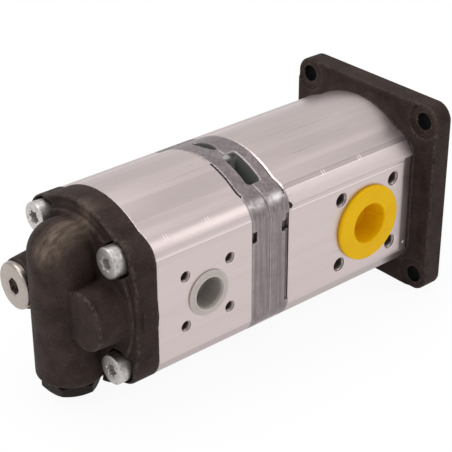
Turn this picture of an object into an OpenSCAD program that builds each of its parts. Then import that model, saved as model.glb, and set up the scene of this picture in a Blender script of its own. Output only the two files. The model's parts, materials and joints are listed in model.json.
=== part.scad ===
// Two-stage external gear pump. A cast iron flange, two extruded housings, two die-cast plates
// between them and a cast iron rear cover are clamped together by four long screws.
// X runs along the drive shaft, out of the mounting face at X = 0. Z points up, and the
// pressure ports face -Y. Places marked "from the body's middle" are measured from the point
// halfway between the drive gear and the idler gear.

/* [Body outline] */
// Width across the two port faces
body_w = 86.2; // [85:0.2:90]
// Radius of the top and bottom arcs
body_r = 50; // [49:0.5:53]
// Radius of the corners around the long screws
corner_r = 14.2; // [13.8:0.1:15]
// Height of a corner's centre from the body's middle
corner_h = 25.8; // [25.4:0.1:27]
// Fillet between an arc and a corner
waist_r = 14; // [8:1:20]

/* [Lengths along the shaft] */
// Thickness of the flange plate
flange_t = 12.5; // [11:0.5:16]
// Length of the boss behind the flange plate
flange_boss_l = 4.5; // [4:0.5:8]
// Length of the front housing
front_housing_l = 90.9; // [88:0.1:105]
// Thickness of the front intermediate plate
front_plate_t = 13.6; // [12.5:0.1:16]
// Thickness of the rear intermediate plate
rear_plate_t = 11.7; // [11.5:0.1:15]
// Length of the rear housing
rear_housing_l = 60.5; // [60:0.1:70]
// Thickness of the rear cover plate
cover_t = 13.8; // [13:0.1:18]

/* [Flange] */
// Width of the flange plate
flange_w = 107; // [105:0.2:120]
// Height of the flange plate
flange_h = 113.6; // [110:0.2:124]
// How far the flange plate's middle lies below the body's middle
flange_drop = 0.2; // [0:0.1:2]
// Corner radius of the flange plate
flange_corner_r = 10; // [6:0.5:14]
// Fillet between the boss and the flange plate
flange_fillet_r = 4.5; // [2:0.5:5]
// Distance of the flange holes from the plate's side edges
hole_edge_w = 9.2; // [8.8:0.1:10]
// Distance of the flange holes from the plate's top and bottom edges
hole_edge_h = 9.3; // [8.8:0.1:10]
// Diameter of a flange hole
flange_hole_d = 9; // [8:0.5:11]
// Diameter of the spotface around a flange hole
spotface_d = 19; // [16:0.5:20]
// Depth of the spotface
spotface_t = 1; // [0.5:0.1:2]
// Diameter of the centring pilot
pilot_d = 63; // [54:1:70]
// Length of the centring pilot
pilot_l = 6; // [5:0.5:8]
// Gap around the shaft behind its seal
shaft_bore_gap = 0.8; // [0.4:0.1:2]

/* [Gears] */
// Teeth on each gear
teeth = 12; // [11:1:12]
// Module of the teeth
gear_module = 3; // [2.9:0.05:3.05]
// Pressure angle in degrees
pressure_angle = 25; // [24:0.5:26]
// Width of the front gears
front_gear_w = 40; // [34:0.5:42]
// Width of the rear gears
rear_gear_w = 16.1; // [12:0.1:16.2]
// Play between meshing teeth, across one tooth
backlash = 0.35; // [0.2:0.05:0.5]
// Gap between the tooth tips and the chamber wall
tip_gap = 0.25; // [0.15:0.05:0.4]
// Gap between a gear's side and its bearing block
side_gap = 0.1; // [0.05:0.05:0.2]

/* [Shafts and bearings] */
// Diameter of the shafts and journals
shaft_d = 20; // [18:0.5:21]
// Length of the drive shaft in front of the mounting face
shaft_l = 38; // [37:1:50]
// Diameter of the drive shaft's end, in front of the pilot
shaft_end_d = 18; // [16:0.5:19]
// Width of the key
key_w = 6; // [5:0.5:6]
// Height of the key
key_h = 6; // [5:0.5:6]
// Length of the key
key_l = 25; // [16:1:26]
// Depth of the key's seat in the shaft
key_depth = 3.5; // [3:0.1:3.6]
// Running gap all round a journal
journal_gap = 0.05; // [0.03:0.01:0.08]
// Wall of a bearing bush
bush_wall = 1.25; // [1:0.05:1.5]
// Length of a bearing bush
bush_l = 19; // [15:0.5:19.5]
// Length of the front housing's outer bearing block
outer_block_l = 22; // [21:0.5:23]
// Length of each bearing block in the rear housing
rear_block_l = 22; // [21.5:0.1:22]
// Gap around a bearing block in its chamber
block_gap = 0.05; // [0.03:0.01:0.1]
// Outside diameter of the coupling sleeve
sleeve_d = 28; // [26:0.5:29]
// Length of the coupling sleeve
sleeve_l = 21; // [18:0.5:22]

/* [Ports] */
// Distance of the front ports behind the mounting face
front_port_x = 51.3; // [50:0.1:55]
// Distance of the rear ports behind the mounting face
rear_port_x = 162; // [160:0.1:165]
// Bore of the large ports
large_port_d = 26; // [22:0.5:27]
// Pitch circle of the large ports' tapped holes
large_port_pcd = 55; // [54:0.5:56]
// Diameter of the large ports' tapped holes
large_tap_d = 8; // [6:0.5:8]
// Bore of the small port
small_port_d = 20; // [16:0.5:21]
// Pitch circle of the small port's tapped holes
small_port_pcd = 40; // [38:0.5:42]
// Diameter of the small port's tapped holes
small_tap_d = 6; // [5:0.5:6]
// Depth of the tapped holes
tap_l = 13; // [10:0.5:14]
// Flange diameter of a large port plug
large_plug_d = 43; // [38:0.5:44]
// Flange diameter of the small port plug
small_plug_d = 27.5; // [25:0.5:30]
// Flange thickness of a large port plug
large_plug_t = 2.6; // [2:0.1:4]
// Flange thickness of the small port plug
small_plug_t = 1.8; // [1.2:0.1:3]
// Wall of a large port plug
large_plug_wall = 1.4; // [1:0.1:2]
// Wall of the small port plug
small_plug_wall = 0.9; // [0.8:0.1:1.4]
// Depth of a port plug inside its port
plug_l = 13; // [10:0.5:14]
// Gap around a port plug in its port
plug_gap = 0.08; // [0.05:0.01:0.1]

/* [Long screws] */
// Spacing of the long screws, both ways
screw_spacing = 60; // [59:0.5:61]
// Diameter of a long screw
screw_d = 10; // [9:0.5:10]
// Diameter of a screw's hole in the housings
screw_hole_d = 11; // [10.5:0.1:11.2]
// Diameter of a screw head
screw_head_d = 16; // [15:0.5:17]
// Height of a screw head
screw_head_h = 10; // [8:0.5:11]
// Width of the six-lobe recess
recess_d = 6.8; // [6:0.1:8]
// Depth of the six-lobe recess
recess_l = 5; // [4:0.5:6]
// Depth of a screw's seat in the rear cover
screw_seat_l = 4; // [3:0.5:5]
// Diameter of a screw's seat
screw_seat_d = 18.4; // [17.5:0.1:19]
// Depth of a screw's thread in the flange
thread_l = 13.5; // [11:0.5:14.5]
// Diameter of a dowel pin
dowel_d = 6; // [5:0.5:6]
// Length of a dowel pin
dowel_l = 10; // [8:0.5:10]
// Distance of the dowel pins from the middle
dowel_y = 34.5; // [33.5:0.5:35]

/* [Rear cover] */
// How far the cover stands proud of the housing all round
cover_proud = 0.3; // [0.2:0.1:0.8]
// Radius of the raised round pad
pad_r = 43.3; // [42:0.1:43.5]
// Height of the raised round pad
pad_t = 1.2; // [0.6:0.1:1.6]
// Diameter of the valve column
column_d = 36; // [33:0.5:37]
// Distance of the column's axis behind the rear housing
column_x = 23.3; // [22.5:0.1:26]
// Height of the dome's centre from the body's middle
dome_h = 24.5; // [22:0.5:26]
// Distance of the column's lower end inside the body's bottom arc
column_inset = 6.5; // [4:0.5:8]
// Chamfer round the column's lower end
column_chamfer = 1.5; // [0.5:0.1:2.5]
// Distance of each side boss's axis inside the port faces
side_boss_inset = 18.6; // [18.4:0.1:19]
// Diameter of the side bosses at the cover
side_boss_d = 31; // [29:0.5:32]
// Distance of the blind boss's face behind the rear housing
blind_boss_x = 31.8; // [30:0.1:34]
// Distance of the relief boss's face behind the rear housing
relief_boss_x = 34.5; // [33:0.1:36]
// Diameter of the relief boss at its face
relief_boss_d = 27; // [26:0.5:28]

/* [Valves] */
// Diameter of the valve spool
spool_d = 16; // [14:0.5:17]
// Gap around the spool and the relief poppet
valve_gap = 0.05; // [0.03:0.01:0.08]
// Thread diameter of the hexagon plug
hex_plug_d = 22; // [20:0.5:23]
// Width across the flats of the hexagon plug
hex_w = 27; // [24:0.5:28]
// Height of the hexagon
hex_h = 6.5; // [5:0.5:8]
// Gap around the hexagon in the clearance cut for it
hex_cut_gap = 0.9; // [0.4:0.1:1.5]
// Thickness of the hexagon plug's seal ring
hex_seal_t = 1.5; // [1:0.1:2]
// Head diameter of the relief plug
relief_plug_d = 25.4; // [24:0.2:26]
// Head height of the relief plug
relief_plug_h = 3; // [2.5:0.1:5]
// Gap around the relief plug's head in the clearance cut for it
relief_cut_gap = 0.3; // [0.2:0.1:0.5]
// Thickness of the relief plug's seal ring
relief_seal_t = 1; // [0.8:0.1:1.5]
// Thread diameter of the relief plug
relief_thread_d = 18; // [16:0.5:19]
// Width across the flats of the relief plug's socket
socket_w = 8; // [6:0.5:9]
// Depth of the relief plug's socket
socket_l = 7; // [5:0.5:8]
// Diameter of the relief poppet
poppet_d = 10; // [9:0.5:11]
// Wire of the valve springs
wire_d = 1.4; // [1.2:0.1:1.5]

/* [Seals] */
// Depth of the seal grooves
groove_t = 2; // [1.5:0.1:2.2]
// Width of the seals between housings
housing_seal_w = 2.4; // [2:0.1:2.6]
// Wall between a chamber and its housing seal
seal_margin = 2.2; // [1.8:0.1:2.4]
// Width of the pressure seal on a bearing block
block_seal_w = 2.8; // [2.4:0.1:3]
// Thickness of the backup ring under a block seal
backup_t = 0.8; // [0.6:0.1:1]
// Cross-section of the ring between the plates
plate_ring_d = 2.6; // [2:0.1:3]
// Outside diameter of the shaft seal
shaft_seal_d = 35; // [33:0.5:38]
// Width of the shaft seal
shaft_seal_w = 7; // [6:0.5:8]
// Thickness of the ring that holds the shaft seal
snap_ring_t = 1.5; // [1.2:0.1:1.8]
// Depth of that ring's groove
snap_groove_t = 1.1; // [0.8:0.1:1.5]
// Distance of that ring behind the pilot's face
snap_inset = 2.5; // [2:0.5:4]

/* [Hidden] */
$fn = 96;

// Colours
iron_colour = "#3a322f";
housing_colour = "#cdc4c0";
plate_colour = "#8f8886";
steel_colour = "#a9a7a4";
gear_colour = "#8d9094";
bush_colour = "#a88a52";
rubber_colour = "#1c1b1a";

// Gear geometry
flank_steps = 5;
root_turn = 1.5;
drive_turn = -90;
idler_turn = 90 + 180 / teeth;
gear_c = teeth * gear_module;
body_z = -gear_c / 2;
root_r = gear_c / 2 - 1.25 * gear_module;
tip_r = gear_c / 2 + 0.9 * gear_module;
base_r = gear_c / 2 * cos(pressure_angle);
chamber_r = tip_r + tip_gap;
block_r = chamber_r - block_gap;
journal_r = shaft_d / 2;
bush_in_r = journal_r + journal_gap;
bush_out_r = bush_in_r + bush_wall;

// Stations along the shaft, from the mounting face back
x_flange = -flange_t;
x_front = x_flange - flange_boss_l;
x_plate = x_front - front_housing_l;
x_middle = x_plate - front_plate_t;
x_rear = x_middle - rear_plate_t;
x_cover = x_rear - rear_housing_l;
x_cover_back = x_cover - cover_t;
x_pad = x_cover_back - pad_t;
x_seat = x_cover_back + screw_seat_l;

// Gears and blocks along the shaft
x_gear_front = x_front - outer_block_l - side_gap;
x_gear_front_end = x_gear_front - front_gear_w;
x_gear_rear = x_rear - rear_block_l - side_gap;
x_gear_rear_end = x_gear_rear - rear_gear_w;
x_block_b = x_gear_front_end - side_gap;
x_block_d = x_gear_rear_end - side_gap;
end_gap = 1;
spline_in_r = 0.8 * journal_r;
spline_out_r = journal_r - 0.3;
spline_w = 4;
spline_gap = 0.1;
spline_end = 1.5;
spline_root = 1;
sleeve_x = (x_plate + x_rear) / 2;
sleeve_gap = 1.2;
key_gap = 4;
key_x0 = pilot_l + key_gap;
shaft_end_r = shaft_end_d / 2;
shaft_step_x = pilot_l + 2;

// Shaft seal and the ring in front of it
shaft_seal_x1 = pilot_l - snap_inset - snap_ring_t;
shaft_seal_x0 = shaft_seal_x1 - shaft_seal_w;

// Bearing blocks
block_seal_land = 2.2;
block_seal_reach = 6;
bush_setback = 1;

// Body outline and flange
waist_bite = 0.05;
corner_y = body_w / 2 - corner_r;
screw_y = screw_spacing / 2;
thread_gap = 1;
flange_hole_y = flange_w / 2 - hole_edge_w;
flange_hole_z = flange_h / 2 - hole_edge_h;

// Valve column
column_r = column_d / 2;
column_l = body_r - column_inset;
side_boss_y = body_w / 2 - side_boss_inset;
x_column = x_cover - column_x;
spool_l = 28;
spool_end_gap = 0.5;
spool_pocket_l = 4;
bore_top = 16;
passage_r = 3;
low_passage_z = -22;
plug_thread_l = 12;
spring_gap = 0.15;
spring_inset = 3.6;
spring_r = spool_d / 2 - spring_inset;
spool_bottom = bore_top - spool_end_gap - spool_l;
plug_top = -column_l + plug_thread_l;
hex_r = hex_w / 2 / cos(30);
valve_spring_z0 = plug_top + spring_gap;
valve_spring_l = spool_bottom + spool_pocket_l - spring_gap - valve_spring_z0;

// Relief valve
x_relief = x_cover - relief_boss_x;
relief_thread_l = 9;
x_relief_end = x_relief + relief_thread_l;
relief_seat_l = 5;
relief_seat_inset = 4;
relief_seat_x = x_cover - relief_seat_inset;
relief_hole_r = 2;
poppet_l = 9;
poppet_pocket_l = 3;
poppet_x1 = relief_seat_x - relief_seat_l - valve_gap;
poppet_x0 = poppet_x1 - poppet_l;
relief_spring_inset = 2.3;
relief_spring_r = poppet_d / 2 - relief_spring_inset;
relief_spring_x0 = x_relief_end + spring_gap;
relief_spring_l = poppet_x0 + poppet_pocket_l - spring_gap - relief_spring_x0;

// Ports
port_y = body_w / 2;
port_reach = 10;

// Recesses in the outside of the plates: angles about the body's middle, and X from the joint
// between the two plates
pocket_angles = [99, 125];
pocket_x = [-2.5, 6.3];
small_pocket_angles = [74, 92];
small_pocket_x = [-3, 2.5];
pocket_floor_r = 39;
rear_slot_angles = [102, 131];
front_slot_angles = [106, 138];
slot_t = 1;
slot_depth = 1.5;
notch_z = [16.6, 22.4];
notch_t = 3;
front_notch_l = 5.3;
rear_notch_l = 3.3;
plate_ring_margin = 6;
plate_ring_r = sleeve_d / 2 + plate_ring_margin;
ring_groove_half = 0.6 * plate_ring_d;

// Extrude a YZ outline from x0 to x1
module along_x(x0, x1) {
    translate([x0, 0, 0]) rotate([90, 0, 90]) linear_extrude(x1 - x0) children();
}

module rod_x(r, x0, x1, y = 0, z = 0) {
    translate([x0, y, z]) rotate([0, 90, 0]) cylinder(r = r, h = x1 - x0);
}

module rod_y(r, y0, y1, x, z) {
    translate([x, y0, z]) rotate([-90, 0, 0]) cylinder(r = r, h = y1 - y0);
}

module rod_z(r, z0, z1, x, y = 0) {
    translate([x, y, z0]) cylinder(r = r, h = z1 - z0);
}

// Circle of radius r in each corner of a rectangle of half sizes y and z
module corner_circles(y, z, r) {
    for (v = [-1, 1]) for (w = [-1, 1]) translate([v * y, w * z]) circle(r);
}

// Concave fillet between an arc and the corner with the signs v and w. Its circle is larger than
// the tangent one by waist_bite, so that it crosses both of them at a small angle
module waist(grow, v, w) {
    big = body_r + grow + waist_r;
    small = corner_r + grow + waist_r;
    centre = [v * corner_y, w * corner_h];
    d = norm(centre);
    a = atan2(corner_h, corner_y) + acos((big * big + d * d - small * small) / (2 * big * d));
    p = big * [v * cos(a), w * sin(a)];
    on_arc = p * (body_r + grow) / big;
    on_corner = p + (centre - p) * waist_r / small;
    outline = v * w > 0 ? [p, on_arc, centre, on_corner] : [p, on_corner, centre, on_arc];
    difference() {
        polygon(outline);
        translate(p) circle(waist_r + waist_bite);
    }
}

// Outline of the body in YZ, centred between the gears
module body_outline(grow = 0) {
    translate([0, body_z]) union() {
        intersection() {
            circle(body_r + grow);
            square([2 * corner_y, 3 * body_r], center = true);
        }
        square([body_w + 2 * grow, 2 * corner_h], center = true);
        corner_circles(corner_y, corner_h, corner_r + grow);
        for (v = [-1, 1]) for (w = [-1, 1]) waist(grow, v, w);
    }
}

// Two equal circles, one around each gear's axis
module gear_circles(r) {
    circle(r);
    translate([0, -gear_c]) circle(r);
}

// A slot-shaped outline around both gears
module oblong(r) {
    gear_circles(r);
    translate([-r, -gear_c]) square([2 * r, gear_c]);
}

module screw_holes(r, x0, x1) {
    for (v = [-1, 1]) for (w = [-1, 1]) rod_x(r, x0, x1, v * screw_y, body_z + w * screw_y);
}

module dowel_holes(x) {
    l = dowel_l / 2 + 0.2;
    for (v = [-1, 1]) rod_x(dowel_d / 2, x - l, x + l, v * dowel_y, body_z);
}

// Groove or seal around both gears, from x0 to x1
module housing_seal_shape(x0, x1) {
    along_x(x0, x1) difference() {
        oblong(chamber_r + seal_margin + housing_seal_w);
        oblong(chamber_r + seal_margin);
    }
}

// Sector of a ring about the body's middle, between two angles
module ring_sector(r0, r1, angles, x0, x1) {
    reach = 1.5 * r1;
    along_x(x0, x1) translate([0, body_z]) intersection() {
        difference() {
            circle(r1);
            circle(r0);
        }
        polygon([[0, 0], for (a = angles) reach * [-cos(180 - a), sin(a)]]);
    }
}

// Ring that fills the corner between a round boss of radius r and the face it stands on
module fillet_ring(r, f) {
    rotate_extrude() difference() {
        translate([r - 1, 0]) square([f + 1, f]);
        translate([r + f, f]) circle(f);
    }
}

module fillet_ring_x(r, f, x, y, z) {
    translate([x, y, z]) rotate([0, -90, 0]) fillet_ring(r, f);
}

module flange_outline() {
    y = flange_w / 2;
    z = flange_h / 2;
    r = flange_corner_r;
    translate([0, body_z - flange_drop]) union() {
        square([2 * y, 2 * (z - r)], center = true);
        square([2 * (y - r), 2 * z], center = true);
        corner_circles(y - r, z - r, r);
    }
}

// Fillet where the flange's boss meets the plate
module flange_fillet() {
    f = flange_fillet_r;
    for (v = [-1, 1]) for (w = [-1, 1])
        fillet_ring_x(corner_r, f, x_flange, v * corner_y, body_z + w * corner_h);
    intersection() {
        fillet_ring_x(body_r, f, x_flange, 0, body_z);
        translate([x_flange - f, -corner_y, body_z - 2 * body_r]) cube([f, 2 * corner_y, 4 * body_r]);
    }
    for (v = [-1, 1]) mirror([0, v < 0 ? 1 : 0, 0])
        translate([0, 0, body_z - corner_h]) linear_extrude(2 * corner_h) difference() {
            translate([x_flange - f, body_w / 2 - 1]) square([f, f + 1]);
            translate([x_flange - f, body_w / 2 + f]) circle(f);
        }
}

module front_cover() {
    seat_r = shaft_seal_d / 2;
    color(iron_colour) difference() {
        union() {
            along_x(x_flange, 0) flange_outline();
            along_x(x_front, 0) body_outline();
            flange_fillet();
            rod_x(pilot_d / 2, x_flange, pilot_l);
        }
        rod_x(journal_r + shaft_bore_gap, x_front - 1, pilot_l + 1);
        rod_x(seat_r, shaft_seal_x0, pilot_l + 1);
        rod_x(seat_r + snap_groove_t, shaft_seal_x1, shaft_seal_x1 + snap_ring_t);
        translate([0, 0, body_z - flange_drop]) for (v = [-1, 1]) for (w = [-1, 1]) {
            y = v * flange_hole_y;
            z = w * flange_hole_z;
            rod_x(flange_hole_d / 2, x_flange - 1, 1, y, z);
            rod_x(spotface_d / 2, x_flange - flange_boss_l, x_flange + spotface_t, y, z);
        }
        screw_holes(screw_d / 2, x_front - 1, x_front + thread_l + thread_gap);
        dowel_holes(x_front);
        housing_seal_shape(x_front - 1, x_front + groove_t);
    }
}

// Port bore and its four tapped holes, in the face at -Y or, mirrored, at +Y
module port(x, d, pcd, tap_d, side) {
    s = pcd / 2 * sin(45);
    mirror([0, side > 0 ? 1 : 0, 0]) {
        rod_y(d / 2, -port_y - 1, -port_reach, x, body_z);
        for (v = [-1, 1]) for (w = [-1, 1])
            rod_y(tap_d / 2, -port_y - 1, -port_y + tap_l, x + v * s, body_z + w * s);
    }
}

// Housing between x0 and x1 with its two-gear chamber, screw holes and dowel holes
module housing_blank(x0, x1) {
    difference() {
        along_x(x0, x1) body_outline();
        along_x(x0 - 1, x1 + 1) gear_circles(chamber_r);
        screw_holes(screw_hole_d / 2, x0 - 1, x1 + 1);
        dowel_holes(x0);
        dowel_holes(x1);
    }
}

// Rounding of a port face towards the flange
module face_rounding() {
    r = 9;
    depth = 4;
    for (v = [-1, 1]) mirror([0, v < 0 ? 1 : 0, 0])
        translate([0, 0, body_z - corner_h + 1]) linear_extrude(2 * corner_h - 2) difference() {
            translate([x_front - r, port_y - depth]) square([r + 1, depth + 1]);
            translate([x_front - r, port_y - r]) circle(r);
            translate([x_front - r - 1, port_y - r]) square([r, r - 0.001]);
        }
}

module front_housing() {
    nick_r = 1.8;
    nick_l = 3;
    nick_x = x_plate + nick_r / 4;
    nick_z = body_z + corner_h + 1.5;
    color(housing_colour) difference() {
        housing_blank(x_plate, x_front);
        port(-front_port_x, large_port_d, large_port_pcd, large_tap_d, -1);
        port(-front_port_x, large_port_d, large_port_pcd, large_tap_d, 1);
        face_rounding();
        rod_y(nick_r, -port_y - 1, -port_y + nick_l, nick_x, nick_z);
    }
}

module rear_housing() {
    color(housing_colour) difference() {
        housing_blank(x_cover, x_rear);
        port(-rear_port_x, small_port_d, small_port_pcd, small_tap_d, -1);
        port(-rear_port_x, large_port_d, large_port_pcd, large_tap_d, 1);
    }
}

// Pocket cast into both plates, open to the outside, between two angles and two distances
module pocket(angles, x) {
    ring_sector(pocket_floor_r, body_r + 3, angles, x_middle + x[0], x_middle + x[1]);
}

// Pockets in the top and the bottom of both plates
module plate_pockets() {
    for (w = [0, 1]) translate([0, 0, body_z]) mirror([0, 0, w]) translate([0, 0, -body_z]) {
        pocket(pocket_angles, pocket_x);
        pocket(small_pocket_angles, small_pocket_x);
    }
}

// Notch in the port side of a plate, from x0 to x1
module side_notch(x0, x1) {
    translate([x0, -port_y - 1, body_z + notch_z[0]])
        cube([x1 - x0, notch_t + 1, notch_z[1] - notch_z[0]]);
}

module front_plate() {
    rabbet = 1.2;
    color(plate_colour) difference() {
        along_x(x_middle, x_plate) body_outline();
        rod_x(sleeve_d / 2 + sleeve_gap, x_middle - 1, x_plate + 1);
        screw_holes(screw_hole_d / 2, x_middle - 1, x_plate + 1);
        dowel_holes(x_middle);
        dowel_holes(x_plate);
        housing_seal_shape(x_plate - groove_t, x_plate + 1);
        plate_pockets();
        side_notch(x_plate - front_notch_l, x_plate + 1);
        ring_sector(body_r - slot_depth, body_r + 3, front_slot_angles, x_plate - slot_t, x_plate + 1);
        for (v = [-1, 1]) translate([x_plate - rabbet, v * port_y - 1, body_z - corner_h])
            cube([rabbet + 1, 2, 2 * corner_h]);
    }
}

module rear_plate() {
    color(plate_colour) difference() {
        along_x(x_rear, x_middle) body_outline();
        rod_x(sleeve_d / 2 + sleeve_gap, x_rear - 1, x_middle + 1);
        screw_holes(screw_hole_d / 2, x_rear - 1, x_middle + 1);
        dowel_holes(x_middle);
        dowel_holes(x_rear);
        housing_seal_shape(x_rear - 1, x_rear + groove_t);
        plate_pockets();
        side_notch(x_rear - 1, x_rear + rear_notch_l);
        ring_sector(body_r - slot_depth, body_r + 3, rear_slot_angles, x_rear - 1, x_rear + slot_t);
        along_x(x_middle - plate_ring_d, x_middle + 1) difference() {
            circle(plate_ring_r + ring_groove_half);
            circle(plate_ring_r - ring_groove_half);
        }
    }
}

module plate_ring() {
    color(rubber_colour) translate([x_middle - plate_ring_d / 2, 0, 0]) rotate([0, 90, 0])
        rotate_extrude() translate([plate_ring_r, 0]) circle(plate_ring_d / 2);
}

// Shallow half-round lug on the cover's edge, w wide and standing t proud
module cover_lug() {
    w = 14.6;
    t = 1;
    l = 9;
    r = (w * w / 4 + t * t) / (2 * t);
    face_y = -port_y - cover_proud;
    intersection() {
        rod_x(r, x_cover - l, x_cover, face_y - t + r, body_z);
        translate([x_cover - l, face_y - 2 * t, body_z - w / 2]) cube([l, 4 * t, w]);
    }
}

module column_body() {
    rod_z(column_r, body_z - column_l + column_chamfer, body_z + dome_h, x_column);
    translate([x_column, 0, body_z - column_l])
        cylinder(r1 = column_r - column_chamfer, r2 = column_r, h = column_chamfer);
    translate([x_column, 0, body_z + dome_h]) sphere(column_r);
}

module side_bosses() {
    r = side_boss_d / 2;
    f = 2.5;
    rod_x(r, x_cover - blind_boss_x, x_cover_back, -side_boss_y, body_z);
    translate([x_relief, side_boss_y, body_z]) rotate([0, 90, 0])
        cylinder(r1 = relief_boss_d / 2, r2 = r, h = x_cover_back - x_relief);
    for (v = [-1, 1]) fillet_ring_x(r, f, x_pad, v * side_boss_y, body_z);
}

module rear_cover() {
    color(iron_colour) difference() {
        union() {
            along_x(x_cover_back, x_cover) body_outline(cover_proud);
            rod_x(pad_r, x_pad, x_cover_back + 1, 0, body_z);
            column_body();
            side_bosses();
            cover_lug();
        }
        screw_holes(screw_hole_d / 2, x_seat - 1, x_cover + 1);
        screw_holes(screw_seat_d / 2, x_column, x_seat);
        dowel_holes(x_cover);
        housing_seal_shape(x_cover - groove_t, x_cover + 1);
        translate([0, 0, body_z]) {
            rod_z(spool_d / 2 + valve_gap, plug_top - 1, bore_top, x_column);
            rod_z(hex_plug_d / 2, -column_l - 1, plug_top, x_column);
            rod_x(passage_r, x_column, x_cover + 1);
            rod_x(passage_r, x_column, x_cover + 1, 0, low_passage_z);
            rod_x(relief_thread_d / 2, x_relief - 1, x_relief_end, side_boss_y);
            rod_x(poppet_d / 2 + valve_gap, x_relief_end - 1, relief_seat_x, side_boss_y);
            relief_passage();
            rod_z(hex_r + hex_cut_gap, -2 * column_l, -column_l, x_column);
            rod_x(relief_plug_d / 2 + relief_cut_gap, x_column - column_d, x_relief, side_boss_y);
        }
    }
}

// Slanted hole from the relief seat to the pressure chamber
module relief_passage() {
    run = x_cover - relief_seat_x;
    drop = side_boss_y / 2;
    slant = atan2(drop, run);
    translate([relief_seat_x, side_boss_y, 0]) rotate([0, 0, -slant]) rotate([0, 90, 0])
        translate([0, 0, -1]) cylinder(r = relief_hole_r, h = norm([run, drop]) + 2 * relief_hole_r);
}

// Six-lobe recess, centred on the X axis
module six_lobe(x0, x1) {
    lobe_r = recess_d * 0.11;
    along_x(x0, x1) {
        circle(recess_d * 0.37);
        for (i = [0:5]) rotate(60 * i) {
            translate([recess_d / 2 - lobe_r, 0]) circle(lobe_r);
            translate([0, -lobe_r]) square([recess_d / 2 - lobe_r, 2 * lobe_r]);
        }
    }
}

module long_screws() {
    x_head = x_seat - screw_head_h;
    chamfer = 0.6;
    r = screw_head_d / 2;
    color(steel_colour) for (v = [-1, 1]) for (w = [-1, 1])
        translate([0, v * screw_y, body_z + w * screw_y]) difference() {
            union() {
                rod_x(screw_d / 2, x_seat - 1, x_front + thread_l);
                rod_x(r, x_head + chamfer, x_seat);
                translate([x_head, 0, 0]) rotate([0, 90, 0])
                    cylinder(r1 = r - chamfer, r2 = r, h = chamfer);
            }
            six_lobe(x_head - 1, x_head + recess_l);
        }
}

module dowel_pins() {
    l = dowel_l / 2;
    color(steel_colour) for (x = [x_front, x_plate, x_middle, x_rear, x_cover]) for (v = [-1, 1])
        rod_x(dowel_d / 2, x - l, x + l, v * dowel_y, body_z);
}

// Rubber seal with a folded lip that runs on the shaft
module shaft_seal() {
    out = shaft_seal_d / 2;
    lip = journal_r + journal_gap;
    w = shaft_seal_w;
    t = 1.6;
    dust = lip + 0.8;
    color(rubber_colour) translate([shaft_seal_x0, 0, 0]) rotate([0, 90, 0]) rotate_extrude()
        polygon([[out, 0], [out, w], [lip + t, w], [lip, w - t], [dust, w - 1.6 * t],
            [dust + t, w - t], [out - t, w - t], [out - t, t], [dust, t], [lip + t / 4, t / 2],
            [dust, 0]]);
}

module snap_ring() {
    out = shaft_seal_d / 2 + snap_groove_t;
    w = 3.4;
    gap = 4;
    color(steel_colour) difference() {
        rod_x(out, shaft_seal_x1, shaft_seal_x1 + snap_ring_t);
        rod_x(out - w, shaft_seal_x1 - 1, shaft_seal_x1 + snap_ring_t + 1);
        translate([shaft_seal_x1 - 1, -gap / 2, out - 1.5 * w]) cube([snap_ring_t + 2, gap, 2 * w]);
    }
}

// Involute in degrees, and the half angle of a tooth at radius r
function involute(a) = tan(a) * 180 / PI - a;
function tooth_half(r) = 90 / teeth + involute(pressure_angle)
    - involute(acos(min(1, base_r / r))) - backlash / gear_c * 180 / PI / 2;
function flank(k) = let (r = base_r + (tip_r - base_r) * k / flank_steps) [r, tooth_half(r)];
function polar(r, a) = r * [cos(a), sin(a)];

// Outline of one gear, first tooth centred at the angle turn
function gear_points(turn) = [
    for (i = [0:teeth - 1]) let (c = turn + 360 / teeth * i) each [
        polar(root_r, c - tooth_half(base_r) - root_turn),
        for (k = [0:flank_steps]) polar(flank(k)[0], c - flank(k)[1]),
        for (k = [flank_steps:-1:0]) polar(flank(k)[0], c + flank(k)[1]),
        polar(root_r, c + tooth_half(base_r) + root_turn)
    ]
];

module gear(x0, x1, turn) {
    along_x(x0, x1) polygon(gear_points(turn));
}

// Six-key spline outline
module spline(grow) {
    circle(spline_in_r + grow);
    for (i = [0:2]) rotate(60 * i) intersection() {
        square([2 * journal_r, spline_w + 2 * grow], center = true);
        circle(spline_out_r + grow);
    }
}

// Flat key with round ends, lying along X on top of the shaft
module key_shape() {
    r = key_w / 2;
    translate([0, 0, shaft_end_r - key_depth]) {
        translate([key_x0 + r, -r, 0]) cube([key_l - key_w, key_w, key_h]);
        for (x = [key_x0 + r, key_x0 + key_l - r]) translate([x, 0, 0]) cylinder(r = r, h = key_h);
    }
}

module front_drive_gear() {
    chamfer = 1;
    color(gear_colour) difference() {
        union() {
            gear(x_gear_front_end, x_gear_front, drive_turn);
            rod_x(journal_r, x_plate + end_gap, shaft_step_x);
            rod_x(shaft_end_r, shaft_step_x - 1, shaft_l - chamfer);
            translate([shaft_l - chamfer, 0, 0]) rotate([0, 90, 0])
                cylinder(r1 = shaft_end_r, r2 = shaft_end_r - chamfer, h = chamfer);
            along_x(sleeve_x + spline_end, x_plate + end_gap + spline_root) spline(0);
        }
        key_shape();
    }
}

module shaft_key() {
    color(steel_colour) key_shape();
}

module coupling_sleeve() {
    color(gear_colour) along_x(sleeve_x - sleeve_l / 2, sleeve_x + sleeve_l / 2) difference() {
        circle(sleeve_d / 2);
        spline(spline_gap);
    }
}

module rear_drive_gear() {
    color(gear_colour) {
        gear(x_gear_rear_end, x_gear_rear, drive_turn);
        rod_x(journal_r, x_cover + end_gap, x_rear - end_gap);
        along_x(x_rear - end_gap - spline_root, sleeve_x - spline_end) spline(0);
    }
}

module idler(x0, x1, x_end, x_start) {
    color(gear_colour) translate([0, 0, -gear_c]) {
        gear(x0, x1, idler_turn);
        rod_x(journal_r, x_end + end_gap, x_start - end_gap);
    }
}

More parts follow.
